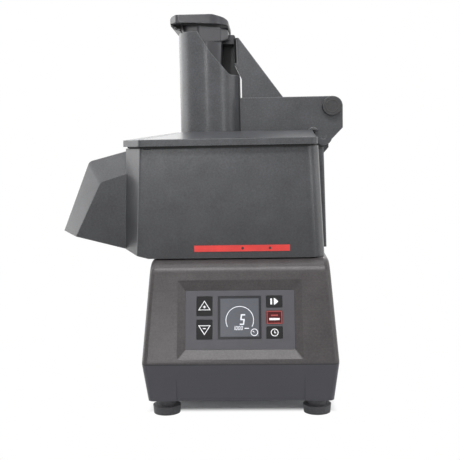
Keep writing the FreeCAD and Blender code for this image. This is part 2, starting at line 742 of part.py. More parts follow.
def display_module():
    back = BOARD_FRONT_W
    front = FASCIA_FRONT_W - SEAT_GAP - WINDOW_THICKNESS - SEAT_GAP
    outline = rectangle(DISPLAY_WIDTH - 3.0, DISPLAY_HEIGHT - 3.0, (DISPLAY_U, DISPLAY_V))
    panel = prism(outline, (KEY_RADIUS,) * 4, (front - MODULE_THICKNESS, front))
    legs = []
    for side_u in (-1.0, 1.0):
        for side_v in (-1.0, 1.0):
            u = DISPLAY_U + side_u * (DISPLAY_WIDTH / 2 - 8.0)
            v = DISPLAY_V + side_v * (DISPLAY_HEIGHT / 2 - 8.0)
            legs.append(rod(STANDOFF_RADIUS, u, v, (back, front - MODULE_THICKNESS)))
    return on_panel(fuse_all([panel] + legs))


def key(name):
    """Key cap with a retaining flange behind the fascia and a stem down to its switch."""
    u, v = KEYS[name][:2]
    flange_front = FASCIA_BACK_W - SEAT_GAP
    cap = prism(key_outline(name, 0.0), (KEY_RADIUS,) * 4, (flange_front, FASCIA_FRONT_W + KEY_PROUD))
    flange = prism(key_outline(name, KEY_FLANGE_RIM), (KEY_RADIUS,) * 4,
                   (flange_front - KEY_FLANGE_THICKNESS, flange_front))
    stem = rod(KEY_STEM_RADIUS, u, v, (KEY_STEM_END_W, flange_front))
    return on_panel(fuse_all([cap, flange, stem]))


def standoff_places():
    places = []
    for side_u in (-1.0, 1.0):
        for side_v in (-1.0, 1.0):
            places.append((side_u * STANDOFF_U, BOARD_V + side_v * STANDOFF_V))
    return places


def circuit_board():
    outline = rectangle(BOARD_WIDTH, BOARD_HEIGHT, (0.0, BOARD_V))
    board = prism(outline, (BOARD_RADIUS,) * 4, (BOARD_BACK_W, BOARD_FRONT_W))
    chip = prism(rectangle(CHIP_SIZE, CHIP_SIZE), (BOARD_RADIUS,) * 4,
                 (BOARD_BACK_W - CHIP_HEIGHT, BOARD_BACK_W))
    plug = prism(rectangle(PLUG_LENGTH, PLUG_WIDTH, PLUG_CENTRE), (BOARD_RADIUS,) * 4,
                 (BOARD_BACK_W - PLUG_HEIGHT, BOARD_BACK_W))
    return on_panel(fuse_all([board, chip, plug]))


def board_standoffs():
    posts = [rod(STANDOFF_RADIUS, u, v, (BOARD_FRONT_W, TRAY_BACK_W)) for u, v in standoff_places()]
    return on_panel(Part.makeCompound(posts))


def key_switches():
    switches = []
    for name in KEYS:
        u, v = KEYS[name][:2]
        plunger_top = KEY_STEM_END_W - KEY_TRAVEL - 0.1
        body = box((u - SWITCH_SIZE / 2, u + SWITCH_SIZE / 2), (v - SWITCH_SIZE / 2, v + SWITCH_SIZE / 2),
                   (BOARD_FRONT_W, plunger_top - 0.8))
        plunger = rod(1.7, u, v, (plunger_top - 0.8, plunger_top))
        switches.append(body.fuse(plunger).removeSplitter())
    return on_panel(Part.makeCompound(switches))


# Chassis, spindle bearings and motor

def bolt_places():
    places = []
    for index in range(4):
        angle = math.radians(45.0 + 90.0 * index)
        places.append((SPINDLE_BOLT_CIRCLE * math.cos(angle), SPINDLE_BOLT_CIRCLE * math.sin(angle)))
    return places


def chassis_places():
    places = []
    for side in (-1.0, 1.0):
        for y in CHASSIS_POST_YS:
            places.append((side * CHASSIS_POST_X, y))
    return places


def chassis_plate():
    plate = box((-CHASSIS_HALF_X, CHASSIS_HALF_X), CHASSIS_Y, (CHASSIS_Z, CHASSIS_TOP_Z))
    low_z = CHASSIS_Z - OVER
    high_z = CHASSIS_TOP_Z + OVER
    plate = drilled(plate, BEARING_HOUSING_RADIUS + SEAT_GAP, [(0, 0)], low_z, high_z)
    return drilled(plate, SPINDLE_BOLT_RADIUS + SCREW_FIT, bolt_places(), low_z, high_z)


def chassis_standoffs():
    underside = DECK_Z - HOUSING_WALL
    posts = [rod(CHASSIS_POST_RADIUS, x, y, (CHASSIS_TOP_Z, underside)) for x, y in chassis_places()]
    return Part.makeCompound(posts)


def bearing_housing():
    tube = rod(BEARING_HOUSING_RADIUS, 0, 0, (BEARING_HOUSING_BOTTOM_Z, SPINDLE_FLANGE_TOP_Z))
    flange = rod(SPINDLE_FLANGE_RADIUS, 0, 0, (CHASSIS_TOP_Z, SPINDLE_FLANGE_TOP_Z))
    low_z = BEARING_HOUSING_BOTTOM_Z - OVER
    high_z = SPINDLE_FLANGE_TOP_Z + OVER
    body = drilled(tube.fuse(flange), BEARING_SHOULDER_RADIUS, [(0, 0)], low_z, high_z)
    body = drilled(body, BEARING_RADIUS, [(0, 0)], SPINDLE_FLANGE_TOP_Z - BEARING_WIDTH, high_z)
    body = drilled(body, BEARING_RADIUS, [(0, 0)], low_z, BEARING_HOUSING_BOTTOM_Z + BEARING_WIDTH)
    body = drilled(body, SPINDLE_BOLT_RADIUS + SCREW_FIT, bolt_places(), CHASSIS_TOP_Z - OVER, high_z)
    return body.removeSplitter()


def bearing(bottom_z):
    """Ball bearing drawn as a ring with a groove on each face between its two races."""
    top_z = bottom_z + BEARING_WIDTH
    body = ring(BEARING_RADIUS, SHAFT_RADIUS + RUNNING_FIT, 0, 0, (bottom_z, top_z))
    outer = BEARING_RADIUS - BEARING_RACE
    inner = SHAFT_RADIUS + BEARING_RACE
    for face_z in (bottom_z, top_z):
        body = body.cut(ring(outer, inner, 0, 0, (face_z - BEARING_GROOVE, face_z + BEARING_GROOVE)))
    return body


def spindle_spigot():
    flange = rod(SPINDLE_FLANGE_RADIUS, 0, 0, (SPINDLE_FLANGE_TOP_Z, SPIGOT_FLANGE_TOP_Z))
    tube = rod(SPIGOT_RADIUS, 0, 0, (SPIGOT_FLANGE_TOP_Z, SPIGOT_TOP_Z))
    low_z = SPINDLE_FLANGE_TOP_Z - OVER
    high_z = SPIGOT_TOP_Z + OVER
    body = drilled(flange.fuse(tube), SHAFT_RADIUS + SPIGOT_CLEARANCE, [(0, 0)], low_z, high_z)
    body = drilled(body, SEAL_RADIUS, [(0, 0)], SPIGOT_TOP_Z - SEAL_WIDTH, high_z)
    return drilled(body, SPINDLE_BOLT_RADIUS + SCREW_FIT, bolt_places(), low_z, SPIGOT_FLANGE_TOP_Z + OVER)


def spindle_bolts():
    bolts = []
    for x, y in bolt_places():
        head = rod(SPINDLE_BOLT_HEAD_RADIUS, x, y, (SPIGOT_FLANGE_TOP_Z, SPIGOT_FLANGE_TOP_Z + 4.0))
        shank = rod(SPINDLE_BOLT_RADIUS, x, y, (CHASSIS_Z, SPIGOT_FLANGE_TOP_Z))
        bolts.append(head.fuse(shank).removeSplitter())
    return Part.makeCompound(bolts)


def shaft_seal():
    return ring(SEAL_RADIUS, SHAFT_RADIUS + RUNNING_FIT, 0, 0, (SPIGOT_TOP_Z - SEAL_WIDTH, SPIGOT_TOP_Z))


def pulley(x, y, radius, bore, hub_radius):
    """Flanged belt pulley with a dished web."""
    body = rod(radius + PULLEY_FLANGE, x, y, (PULLEY_BOTTOM_Z, PULLEY_TOP_Z))
    groove = ring(radius + 2 * PULLEY_FLANGE, radius, x, y,
                  (PULLEY_BOTTOM_Z + PULLEY_FLANGE, PULLEY_TOP_Z - PULLEY_FLANGE))
    body = body.cut(groove)
    if radius > hub_radius + 2 * PULLEY_FLANGE:
        dish_z = (PULLEY_TOP_Z - PULLEY_WIDTH / 3, PULLEY_TOP_Z + OVER)
        body = body.cut(ring(radius - 2 * PULLEY_FLANGE, hub_radius, x, y, dish_z))
    return drilled(body, bore, [(x, y)], PULLEY_BOTTOM_Z - OVER, PULLEY_TOP_Z + OVER)


def belt_outline(growth):
    """Belt loop round both pulleys, moved outwards by one distance."""
    large = DRIVEN_PULLEY_RADIUS + BELT_CLEARANCE + growth
    small = MOTOR_PULLEY_RADIUS + BELT_CLEARANCE + growth
    distance = math.hypot(MOTOR_X, MOTOR_Y)
    heading = math.atan2(MOTOR_Y, MOTOR_X)
    lean = math.acos((large - small) / distance)
    z = PULLEY_BOTTOM_Z + PULLEY_FLANGE + BELT_CLEARANCE

    def round_shaft(angle):
        turn = heading + angle
        return Vector(large * math.cos(turn), large * math.sin(turn), z)

    def round_motor(angle):
        turn = heading + angle
        return Vector(MOTOR_X + small * math.cos(turn), MOTOR_Y + small * math.sin(turn), z)

    large_arc = Part.Arc(round_shaft(lean), round_shaft(math.pi), round_shaft(-lean))
    small_arc = Part.Arc(round_motor(-lean), round_motor(0.0), round_motor(lean))
    lower_run = Part.LineSegment(round_shaft(-lean), round_motor(-lean))
    upper_run = Part.LineSegment(round_motor(lean), round_shaft(lean))
    return Part.Wire([large_arc.toShape(), lower_run.toShape(), small_arc.toShape(), upper_run.toShape()])


def drive_belt():
    width = PULLEY_WIDTH - 2 * PULLEY_FLANGE - 2 * BELT_CLEARANCE
    outer = Part.Face(belt_outline(BELT_THICKNESS)).extrude(Vector(0, 0, width))
    inner = Part.Face(belt_outline(0.0)).extrude(Vector(0, 0, width))
    return outer.cut(inner)


def motor_casing():
    motor = [(MOTOR_X, MOTOR_Y)]
    body = rod(MOTOR_RADIUS, MOTOR_X, MOTOR_Y, (MOTOR_BOTTOM_Z, CHASSIS_Z))
    body = drilled(body, MOTOR_RADIUS - MOTOR_WALL, motor, MOTOR_BOTTOM_Z + MOTOR_WALL,
                   CHASSIS_Z - MOTOR_WALL)
    for index in range(MOTOR_FINS):
        fin = box((MOTOR_RADIUS - OVER, MOTOR_RADIUS + MOTOR_FIN_DEPTH),
                  (-MOTOR_FIN_WIDTH / 2, MOTOR_FIN_WIDTH / 2),
                  (MOTOR_BOTTOM_Z + CORE_MARGIN, CHASSIS_Z - CORE_MARGIN))
        fin.rotate(Vector(0, 0, 0), Vector(0, 0, 1), 360.0 / MOTOR_FINS * index)
        fin.translate(Vector(MOTOR_X, MOTOR_Y, 0))
        body = body.fuse(fin)
    return drilled(body, MOTOR_SHAFT_RADIUS + RUNNING_FIT, motor, MOTOR_BOTTOM_Z - OVER,
                   CHASSIS_Z - MOTOR_SHAFT_GAP)


def motor_stator():
    margin = MOTOR_WALL + CORE_MARGIN
    return ring(MOTOR_RADIUS - MOTOR_WALL, STATOR_INNER_RADIUS, MOTOR_X, MOTOR_Y,
                (MOTOR_BOTTOM_Z + margin, CHASSIS_Z - margin))


def motor_rotor():
    margin = MOTOR_WALL + CORE_MARGIN
    core_z = (MOTOR_BOTTOM_Z + margin, CHASSIS_Z - margin)
    core = rod(STATOR_INNER_RADIUS - ROTOR_GAP, MOTOR_X, MOTOR_Y, core_z)
    shaft = rod(MOTOR_SHAFT_RADIUS, MOTOR_X, MOTOR_Y, (PULLEY_BOTTOM_Z, CHASSIS_Z - MOTOR_SHAFT_GAP - OVER))
    return core.fuse(shaft).removeSplitter()


def cooling_fan():
    bottom = PULLEY_TOP_Z + FAN_GAP
    top = bottom + FAN_HEIGHT
    hub = rod(FAN_HUB_RADIUS, MOTOR_X, MOTOR_Y, (bottom, top))
    body = hub.fuse(rod(FAN_RADIUS, MOTOR_X, MOTOR_Y, (bottom, bottom + FAN_WALL)))
    for index in range(FAN_BLADES):
        blade = box((FAN_HUB_RADIUS - FAN_WALL, FAN_RADIUS - FAN_WALL), (-FAN_WALL / 2, FAN_WALL / 2),
                    (bottom + FAN_WALL / 2, top))
        blade.rotate(Vector(0, 0, 0), Vector(0, 0, 1), 360.0 / FAN_BLADES * index)
        blade.translate(Vector(MOTOR_X, MOTOR_Y, 0))
        body = body.fuse(blade)
    body = drilled(body, MOTOR_SHAFT_RADIUS + SCREW_FIT, [(MOTOR_X, MOTOR_Y)], bottom - OVER, top + OVER)
    return body.removeSplitter()


def drive_board():
    board_z = BASE_PLATE_TOP_Z + DRIVE_POST_HEIGHT
    top = board_z + BOARD_THICKNESS
    middle_x = sum(DRIVE_BOARD_X) / 2
    pieces = [box(DRIVE_BOARD_X, DRIVE_BOARD_Y, (board_z, top))]
    for x in (DRIVE_BOARD_X[0] + DRIVE_POST_INSET, DRIVE_BOARD_X[1] - DRIVE_POST_INSET):
        for y in (DRIVE_BOARD_Y[0] + DRIVE_POST_INSET, DRIVE_BOARD_Y[1] - DRIVE_POST_INSET):
            pieces.append(rod(DRIVE_POST_RADIUS, x, y, (BASE_PLATE_TOP_Z, board_z)))
    for index in range(CAPACITORS):
        y = DRIVE_BOARD_Y[0] + CAPACITOR_PITCH * (index + 0.6)
        pieces.append(rod(CAPACITOR_RADIUS, middle_x, y, (top, top + CAPACITOR_HEIGHT)))
    sink_y = (DRIVE_BOARD_Y[1] - DRIVE_POST_INSET - SINK_LENGTH, DRIVE_BOARD_Y[1] - DRIVE_POST_INSET)
    sink_width = SINK_FIN + SINK_PITCH * (SINK_FINS - 1)
    sink_x = middle_x - sink_width / 2
    pieces.append(box((sink_x, sink_x + sink_width), sink_y, (top, top + SINK_BASE)))
    for index in range(SINK_FINS):
        x = sink_x + SINK_PITCH * index
        pieces.append(box((x, x + SINK_FIN), sink_y, (top + SINK_BASE / 2, top + SINK_HEIGHT)))
    return fuse_all(pieces)


def cable_gland():
    inner_y = REAR_Y - HOUSING_WALL
    nose_y = REAR_Y + GLAND_NUT_WIDTH
    nut = cross_rod(GLAND_NUT_RADIUS, GLAND_X, GLAND_Z, (inner_y - GLAND_NUT_WIDTH, inner_y))
    body = cross_rod(GLAND_RADIUS, GLAND_X, GLAND_Z, (inner_y, REAR_Y))
    collar = cross_rod(GLAND_NUT_RADIUS, GLAND_X, GLAND_Z, (REAR_Y, nose_y))
    nose = Part.makeCone(GLAND_RADIUS, GLAND_NOSE_RADIUS, GLAND_NOSE_LENGTH, Vector(GLAND_X, nose_y, GLAND_Z),
                         Vector(0, 1, 0))
    whole = fuse_all([nut, body, collar, nose])
    through = (inner_y - GLAND_NUT_WIDTH - OVER, nose_y + GLAND_NOSE_LENGTH + OVER)
    return whole.cut(cross_rod(GLAND_BORE_RADIUS, GLAND_X, GLAND_Z, through))


def locator_places():
    return [(-LOCATOR_X, LOCATOR_Y), (LOCATOR_X, -LOCATOR_Y)]


def bowl_locators():
    pins = []
    for x, y in locator_places():
        head = rod(LOCATOR_RADIUS, x, y, (DECK_Z, DECK_Z + LOCATOR_HEIGHT))
        shank = rod(LOCATOR_RADIUS / 2, x, y, (DECK_Z - HOUSING_WALL - SEAT_GAP, DECK_Z))
        pins.append(head.fuse(shank).removeSplitter())
    return Part.makeCompound(pins)


# Rotating cutting set

def drive_shaft():
    lower = rod(SHAFT_RADIUS, 0, 0, (SHAFT_BOTTOM_Z, SPIGOT_TOP_Z))
    upper = rod(SHAFT_TOP_RADIUS, 0, 0, (SPIGOT_TOP_Z, DISC_TOP_Z))
    body = lower.fuse(upper)
    return body.cut(pin_shape(SCREW_FIT)).removeSplitter()


def pin_shape(growth):
    """Cylinder of the pin that drives the disc, made larger all round for its hole."""
    start = Vector(-DRIVE_PIN_LENGTH / 2, 0, DRIVE_PIN_Z)
    return Part.makeCylinder(DRIVE_PIN_RADIUS + growth, DRIVE_PIN_LENGTH, start, Vector(1, 0, 0))


def drive_pin():
    return pin_shape(0.0)


def ejector_disc():
    hub_top = EJECTOR_Z + EJECTOR_HUB_HEIGHT
    vane_z = (EJECTOR_Z + EJECTOR_THICKNESS / 2, EJECTOR_Z + VANE_HEIGHT)
    body = rod(EJECTOR_HUB_RADIUS, 0, 0, (EJECTOR_Z, hub_top))
    body = body.fuse(rod(EJECTOR_RADIUS, 0, 0, (EJECTOR_Z, EJECTOR_Z + EJECTOR_THICKNESS)))
    for index in range(EJECTOR_VANES):
        vane = box((EJECTOR_HUB_RADIUS - VANE_THICKNESS, EJECTOR_RADIUS),
                   (-VANE_THICKNESS / 2, VANE_THICKNESS / 2), vane_z)
        vane.rotate(Vector(EJECTOR_HUB_RADIUS, 0, 0), Vector(0, 0, 1), VANE_LEAN)
        vane.rotate(Vector(0, 0, 0), Vector(0, 0, 1), 360.0 / EJECTOR_VANES * index)
        body = body.fuse(vane.common(rod(EJECTOR_RADIUS - RUNNING_FIT, 0, 0, vane_z)))
    body = drilled(body, SHAFT_TOP_RADIUS + RUNNING_FIT, [(0, 0)], EJECTOR_Z - OVER, hub_top + OVER)
    return body.removeSplitter()


def blade_frame(shape, index):
    """Turns a blade or its slot to its place on the disc."""
    turned = shape.copy()
    turned.rotate(Vector(0, 0, 0), Vector(0, 0, 1), 360.0 / BLADE_COUNT * index)
    return turned


def blade_screw_places():
    """Screws along the middle of a blade, in the frame of the first blade."""
    near = BLADE_START + BLADE_SCREW_INSET
    far = BLADE_START + BLADE_LENGTH - BLADE_SCREW_INSET
    return [(x, -BLADE_WIDTH / 2) for x in (near, far)]


def slicing_disc():
    """Disc with a slot in front of each blade and a hub that drops over the drive pin."""
    hub_bottom = DISC_Z - DISC_HUB_HEIGHT
    lap = DISC_THICKNESS / 2
    through = (DISC_Z - OVER, DISC_TOP_Z + OVER)
    body = fuse_all([rod(DISC_RADIUS, 0, 0, (DISC_Z, DISC_TOP_Z)),
                     rod(DISC_HUB_RADIUS, 0, 0, (hub_bottom, DISC_Z + lap))])
    body = drilled(body, SHAFT_TOP_RADIUS + RUNNING_FIT, [(0, 0)], hub_bottom - OVER, through[1])
    keyway_half = DRIVE_PIN_LENGTH / 2 + OVER
    keyway_side = DRIVE_PIN_RADIUS + SEAT_GAP
    body = body.cut(box((-keyway_half, keyway_half), (-keyway_side, keyway_side),
                        (hub_bottom - OVER, DRIVE_PIN_Z + keyway_side)))
    for index in range(BLADE_COUNT):
        slot = box((BLADE_START, BLADE_START + BLADE_LENGTH), (0.0, BLADE_SLOT), through)
        body = body.cut(blade_frame(slot, index))
        for x, y in blade_screw_places():
            body = body.cut(blade_frame(rod(SCREW_RADIUS + SCREW_FIT, x, y, through), index))
    return body.removeSplitter()


def slicing_blades():
    """Flat blades whose front edge is bent up over the slot."""
    low = DISC_TOP_Z
    blades = []
    for index in range(BLADE_COUNT):
        section = ((-BLADE_WIDTH, low), (-BLADE_WIDTH, low + BLADE_THICKNESS), (0.0, low + BLADE_THICKNESS),
                   (BLADE_EDGE - BLADE_THICKNESS, low + BLADE_LIFT), (BLADE_EDGE, low + BLADE_LIFT),
                   (0.0, low))
        wire = Part.makePolygon([Vector(BLADE_START, y, z) for y, z in section + (section[0],)])
        blade = Part.Face(wire).extrude(Vector(BLADE_LENGTH, 0, 0))
        blade = drilled(blade, SCREW_RADIUS + SCREW_FIT, blade_screw_places(), low - OVER, low + BLADE_LIFT)
        blades.append(blade_frame(blade, index))
    return Part.makeCompound(blades)


def blade_screws():
    screws = []
    for index in range(BLADE_COUNT):
        for x, y in blade_screw_places():
            shank = rod(SCREW_RADIUS, x, y, (DISC_Z - SCREW_HEAD_HEIGHT, DISC_TOP_Z + BLADE_THICKNESS))
            nut = rod(SCREW_HEAD_RADIUS, x, y, (DISC_Z - SCREW_HEAD_HEIGHT, DISC_Z))
            screws.append(blade_frame(fuse_all([shank, nut]), index))
    return Part.makeCompound(screws)


# Bowl and chute

def bowl_top_plan():
    """Plan of the bowl's mouth, which is drawn in from the foot by the draft of each wall."""
    plan = []
    for x, y in BOWL_BOTTOM_PLAN:
        flank = x == BOWL_BOTTOM_PLAN[3][0]
        inset_x = BOWL_TOP_INSET_FLANK if flank else BOWL_TOP_INSET_X
        plan.append((x - math.copysign(inset_x, x), y - math.copysign(BOWL_TOP_INSET_Y, y)))
    return plan


def undercut_z(x, offset=0.0):
    """Height of the slanting underside at one X."""
    return BOWL_BOTTOM_Z + (UNDERCUT_START_X - x) * tangent(UNDERCUT_SLOPE) + offset


def undercut(offset):
    """Space under the slanting underside, moved upwards by one distance."""
    far_x = 2 * CHUTE_TIP_X
    points = ((0.0, undercut_z(0.0, offset)), (far_x, undercut_z(far_x, offset)), (far_x, 0.0), (0.0, 0.0))
    return side_plate(points, (0, 0, 0, 0), (-BOWL_TOP_Z, BOWL_TOP_Z))


def bowl_form():
    """Outside of the bowl as a solid block."""
    radii = BOWL_CORNER_RADII
    block = frustum(BOWL_BOTTOM_PLAN, radii, BOWL_BOTTOM_Z, bowl_top_plan(), radii, BOWL_TOP_Z)
    return block.cut(undercut(0.0))


def dome():
    """Raised middle of the bowl's floor, hollow over the spigot, with a hole for the shaft."""
    height = DOME_TOP_Z - BOWL_BOTTOM_Z
    foot = Vector(0, 0, BOWL_BOTTOM_Z)
    outer = Part.makeCone(DOME_FOOT_RADIUS, DOME_TOP_RADIUS, height, foot)
    hollow = Part.makeCone(DOME_FOOT_RADIUS - DOME_WALL, DOME_TOP_RADIUS - DOME_WALL, height - DOME_WALL,
                           foot)
    hole = rod(DOME_HOLE_RADIUS, 0, 0, (BOWL_BOTTOM_Z, DOME_TOP_Z + OVER))
    return outer, hollow.fuse(hole)


def bowl():
    radii = smaller(BOWL_CORNER_RADII, BOWL_WALL)
    inner_bottom = inset_polygon(BOWL_BOTTOM_PLAN, BOWL_WALL)
    inner_top = inset_polygon(bowl_top_plan(), BOWL_WALL)
    cavity = frustum(inner_bottom, radii, BOWL_BOTTOM_Z, inner_top, radii, BOWL_TOP_Z)
    floor = box((-BOWL_TOP_Z, BOWL_TOP_Z), (-BOWL_TOP_Z, BOWL_TOP_Z),
                (BOWL_BOTTOM_Z, BOWL_BOTTOM_Z + BOWL_WALL))
    cavity = cavity.cut(floor).cut(undercut(BOWL_WALL / math.cos(math.radians(UNDERCUT_SLOPE))))
    dome_outer, dome_space = dome()
    shell = bowl_form().cut(cavity).fuse(dome_outer).cut(dome_space)
    wall_x = BOWL_BOTTOM_PLAN[3][0]
    outlet = box((wall_x - OVER, wall_x + BOWL_WALL + BOWL_TOP_INSET_FLANK + OVER),
                 (-OUTLET_HALF_Y, OUTLET_HALF_Y),
                 (undercut_z(wall_x) + OUTLET_SILL, OUTLET_TOP_Z))
    shell = drilled(shell.cut(outlet), LOCATOR_RADIUS + LOCATOR_PLAY, locator_places(), BOWL_BOTTOM_Z - OVER,
                    DECK_Z + LOCATOR_HEIGHT + SEAT_GAP)
    front_y = BOWL_BOTTOM_PLAN[0][1]
    notch = box(NOTCH_X, (front_y, front_y + BOWL_TOP_INSET_Y + BOWL_WALL / 2),
                (BOWL_TOP_Z - NOTCH_DEPTH, BOWL_TOP_Z + OVER))
    return shell.cut(notch).removeSplitter()


def chute_section(ridge_z, brow, tip_x, inset):
    """Side view of the hood at one Y, carried on below its slanting underside."""
    wall_x = BOWL_BOTTOM_PLAN[3][0]
    seam_x = wall_x + CHUTE_SEAM_LAP
    tip_z = undercut_z(tip_x)
    roof_slope = (ridge_z - brow[1]) / (wall_x - brow[0])
    side_slope = (brow[1] - tip_z) / (brow[0] - tip_x)
    foot = (tip_x - CHUTE_FOOT_DROP / side_slope, tip_z - CHUTE_FOOT_DROP)
    top_x = wall_x + BOWL_TOP_INSET_FLANK
    top_z = ridge_z + roof_slope * BOWL_TOP_INSET_FLANK
    points = [(seam_x, top_z), (top_x, top_z), brow, foot, (seam_x, foot[1])]
    return inset_polygon(points, inset) if inset > 0 else points


def chute_form(inset):
    """Hood with bevelled front and rear, as a solid block."""
    middle = chute_section(CHUTE_RIDGE_Z, CHUTE_BROW, CHUTE_TIP_X, inset)
    panel = chute_section(CHUTE_FRONT_RIDGE_Z, CHUTE_FRONT_BROW, CHUTE_FRONT_TIP_X, inset)
    radius = max(CHUTE_BROW_RADIUS - inset, 1.0)
    radii = (0.0, 0.0, radius, 0.0, 0.0)
    shoulder = CHUTE_SHOULDER_HALF_Y
    body = side_plate(middle, radii, (-shoulder, shoulder))
    for side in (-1.0, 1.0):
        near = rounded_wire(middle, radii, upright(side * shoulder))
        far = rounded_wire(panel, radii, upright(side * (CHUTE_HALF_Y - inset)))
        body = body.fuse(Part.makeLoft([near, far], True, True))
    return body


def discharge_chute():
    """Hood that is open along its slanting underside and towards the bowl."""
    return chute_form(0.0).cut(bowl_form()).cut(chute_form(CHUTE_WALL)).cut(undercut(0.0))


def marker_strip():
    draft = math.degrees(math.atan2(BOWL_TOP_INSET_Y, BOWL_TOP_Z - BOWL_BOTTOM_Z))
    half_length = MARKER_LENGTH / 2
    half_height = MARKER_HEIGHT / 2
    strip = box((MARKER_CENTRE_X - half_length, MARKER_CENTRE_X + half_length), (-MARKER_THICKNESS, 0.0),
                (-half_height, half_height))
    for x in MARKER_DOTS_X:
        strip = bored(strip, MARKER_DOT_RADIUS, x, 0.0, MARKER_THICKNESS + OVER)
    strip.rotate(Vector(0, 0, 0), Vector(1, 0, 0), -draft)
    face_y = BOWL_BOTTOM_PLAN[0][1] + (MARKER_CENTRE_Z - BOWL_BOTTOM_Z) * tangent(draft)
    strip.translate(Vector(0, face_y - SEAT_GAP / 4, MARKER_CENTRE_Z))
    return strip


def hinge_post():
    """Block on the bowl's right wall that ends in the eye of the lid's hinge."""
    core_x = bowl_top_plan()[0][0] - BOWL_CORNER_RADII[0]
    radii = (0.0, POST_CORNER_RADIUS, POST_CORNER_RADIUS, 0.0)
    bottom = ((core_x, -POST_HALF_Y), (POST_BOTTOM_X, -POST_HALF_Y), (POST_BOTTOM_X, POST_HALF_Y),
              (core_x, POST_HALF_Y))
    top = ((core_x, -POST_HALF_Y), (POST_TOP_X, -POST_HALF_Y), (POST_TOP_X, POST_HALF_Y),
           (core_x, POST_HALF_Y))
    post = frustum(bottom, radii, POST_BOTTOM_Z, top, radii, POST_TOP_Z).cut(bowl_form())
    neck = box((LID_PIN_X - LUG_RADIUS, LID_PIN_X + LUG_RADIUS), (-LUG_HALF_Y, LUG_HALF_Y),
               (POST_TOP_Z, LID_PIN_Z))
    eye = cross_rod(LUG_RADIUS, LID_PIN_X, LID_PIN_Z, (-LUG_HALF_Y, LUG_HALF_Y))
    foot = side_plate(((LID_PIN_X - LUG_RADIUS, POST_TOP_Z), (LID_PIN_X + LUG_RADIUS, POST_TOP_Z),
                       (POST_TOP_X, POST_TOP_Z - LUG_RADIUS),
                       (LID_PIN_X - LUG_RADIUS, POST_TOP_Z - LUG_RADIUS)),
                      (0, 0, 0, 0), (-LUG_HALF_Y, LUG_HALF_Y)).cut(bowl_form())
    body = fuse_all([post, foot, neck, eye])
    return bored(body, LID_PIN_RADIUS + RUNNING_FIT, LID_PIN_X, LID_PIN_Z, LUG_HALF_Y + OVER).removeSplitter()


# Lid, hopper and bracket

def tube_outline(half_width, centre_x, straight=TUBE_STRAIGHT_HALF):
    """Plan of the hopper: two half circles joined by straight sides along Y."""

    def wire(z):
        right = centre_x + half_width
        left = centre_x - half_width
        front = Part.Arc(Vector(left, -straight, z), Vector(centre_x, -straight - half_width, z),
                         Vector(right, -straight, z))
        rear = Part.Arc(Vector(right, straight, z), Vector(centre_x, straight + half_width, z),
                        Vector(left, straight, z))
        right_side = Part.LineSegment(Vector(right, -straight, z), Vector(right, straight, z))
        left_side = Part.LineSegment(Vector(left, straight, z), Vector(left, -straight, z))
        return Part.Wire([front.toShape(), right_side.toShape(), rear.toShape(), left_side.toShape()])

    return wire


def tube_half_width(z):
    """Outer half width of the hopper, which narrows upwards by its draft."""
    return TUBE_HALF_WIDTH - (z - TUBE_BOTTOM_Z) * tangent(TUBE_DRAFT) / 2


def tube_centre(z):
    """The draft is all on the right side, so the middle moves left with height."""
    return TUBE_CENTRE_X - (z - TUBE_BOTTOM_Z) * tangent(TUBE_DRAFT) / 2


def tube_form(offset, bottom_z, top_z):
    """Solid column with the hopper's plan, moved outwards by one distance."""
    wires = []
    for z in (bottom_z, top_z):
        wires.append(tube_outline(tube_half_width(z) + offset, tube_centre(z))(z))
    return Part.makeLoft(wires, True, True)


def hopper_tube():
    outer = tube_form(0.0, TUBE_BOTTOM_Z, TUBE_TOP_Z)
    inner = tube_form(-TUBE_WALL, TUBE_BOTTOM_Z - OVER, TUBE_TOP_Z + OVER)
    far_x = TUBE_CENTRE_X + TUBE_HALF_WIDTH + OVER
    above_z = TUBE_TOP_Z + OVER
    cut_points = ((TUBE_CUT_START_X, TUBE_TOP_Z), TUBE_CUT_KNEE, (TUBE_CUT_END_X, TUBE_LOW_Z),
                  (far_x, TUBE_LOW_Z),
                  (far_x, above_z), (TUBE_CUT_START_X, above_z))
    half_y = TUBE_STRAIGHT_HALF + TUBE_HALF_WIDTH + OVER
    cut_radii = (0.0, TUBE_KNEE_RADIUS, TUBE_CUT_RADIUS, 0.0, 0.0, 0.0)
    throat = side_plate(cut_points, cut_radii, (-half_y, half_y))
    return outer.cut(inner).cut(throat)


def lid_cover():
    plateau_radii = (PLATEAU_RADIUS,) * len(PLATEAU_PLAN)
    crown = frustum(inset_polygon(LID_PLAN, CROWN_LEDGE), smaller(LID_RADII, CROWN_LEDGE), RIM_TOP_Z,
                    PLATEAU_PLAN, plateau_radii, LID_TOP_Z)
    skirt_plan = inset_polygon(bowl_top_plan(), BOWL_WALL + SKIRT_GAP)
    skirt_radii = smaller(BOWL_CORNER_RADII, BOWL_WALL + SKIRT_GAP)
    skirt_z = LID_BOTTOM_Z - SKIRT_DROP
    body = fuse_all([prism(LID_PLAN, LID_RADII, (LID_BOTTOM_Z, RIM_TOP_Z)), crown,
                     prism(skirt_plan, skirt_radii, (skirt_z, LID_BOTTOM_Z + OVER))])
    room_plan = inset_polygon(skirt_plan, SKIRT_WALL)
    room_radii = smaller(skirt_radii, SKIRT_WALL)
    ceiling_z = RIM_TOP_Z - LID_WALL
    room = prism(room_plan, room_radii, (skirt_z - OVER, ceiling_z))
    attic = frustum(room_plan, room_radii, ceiling_z, inset_polygon(PLATEAU_PLAN, LID_WALL),
                    smaller(plateau_radii, LID_WALL), LID_TOP_Z - LID_WALL)
    body = body.cut(room).cut(attic)
    return body.cut(tube_form(TUBE_FIT, TUBE_BOTTOM_Z - OVER, LID_TOP_Z + OVER)).removeSplitter()


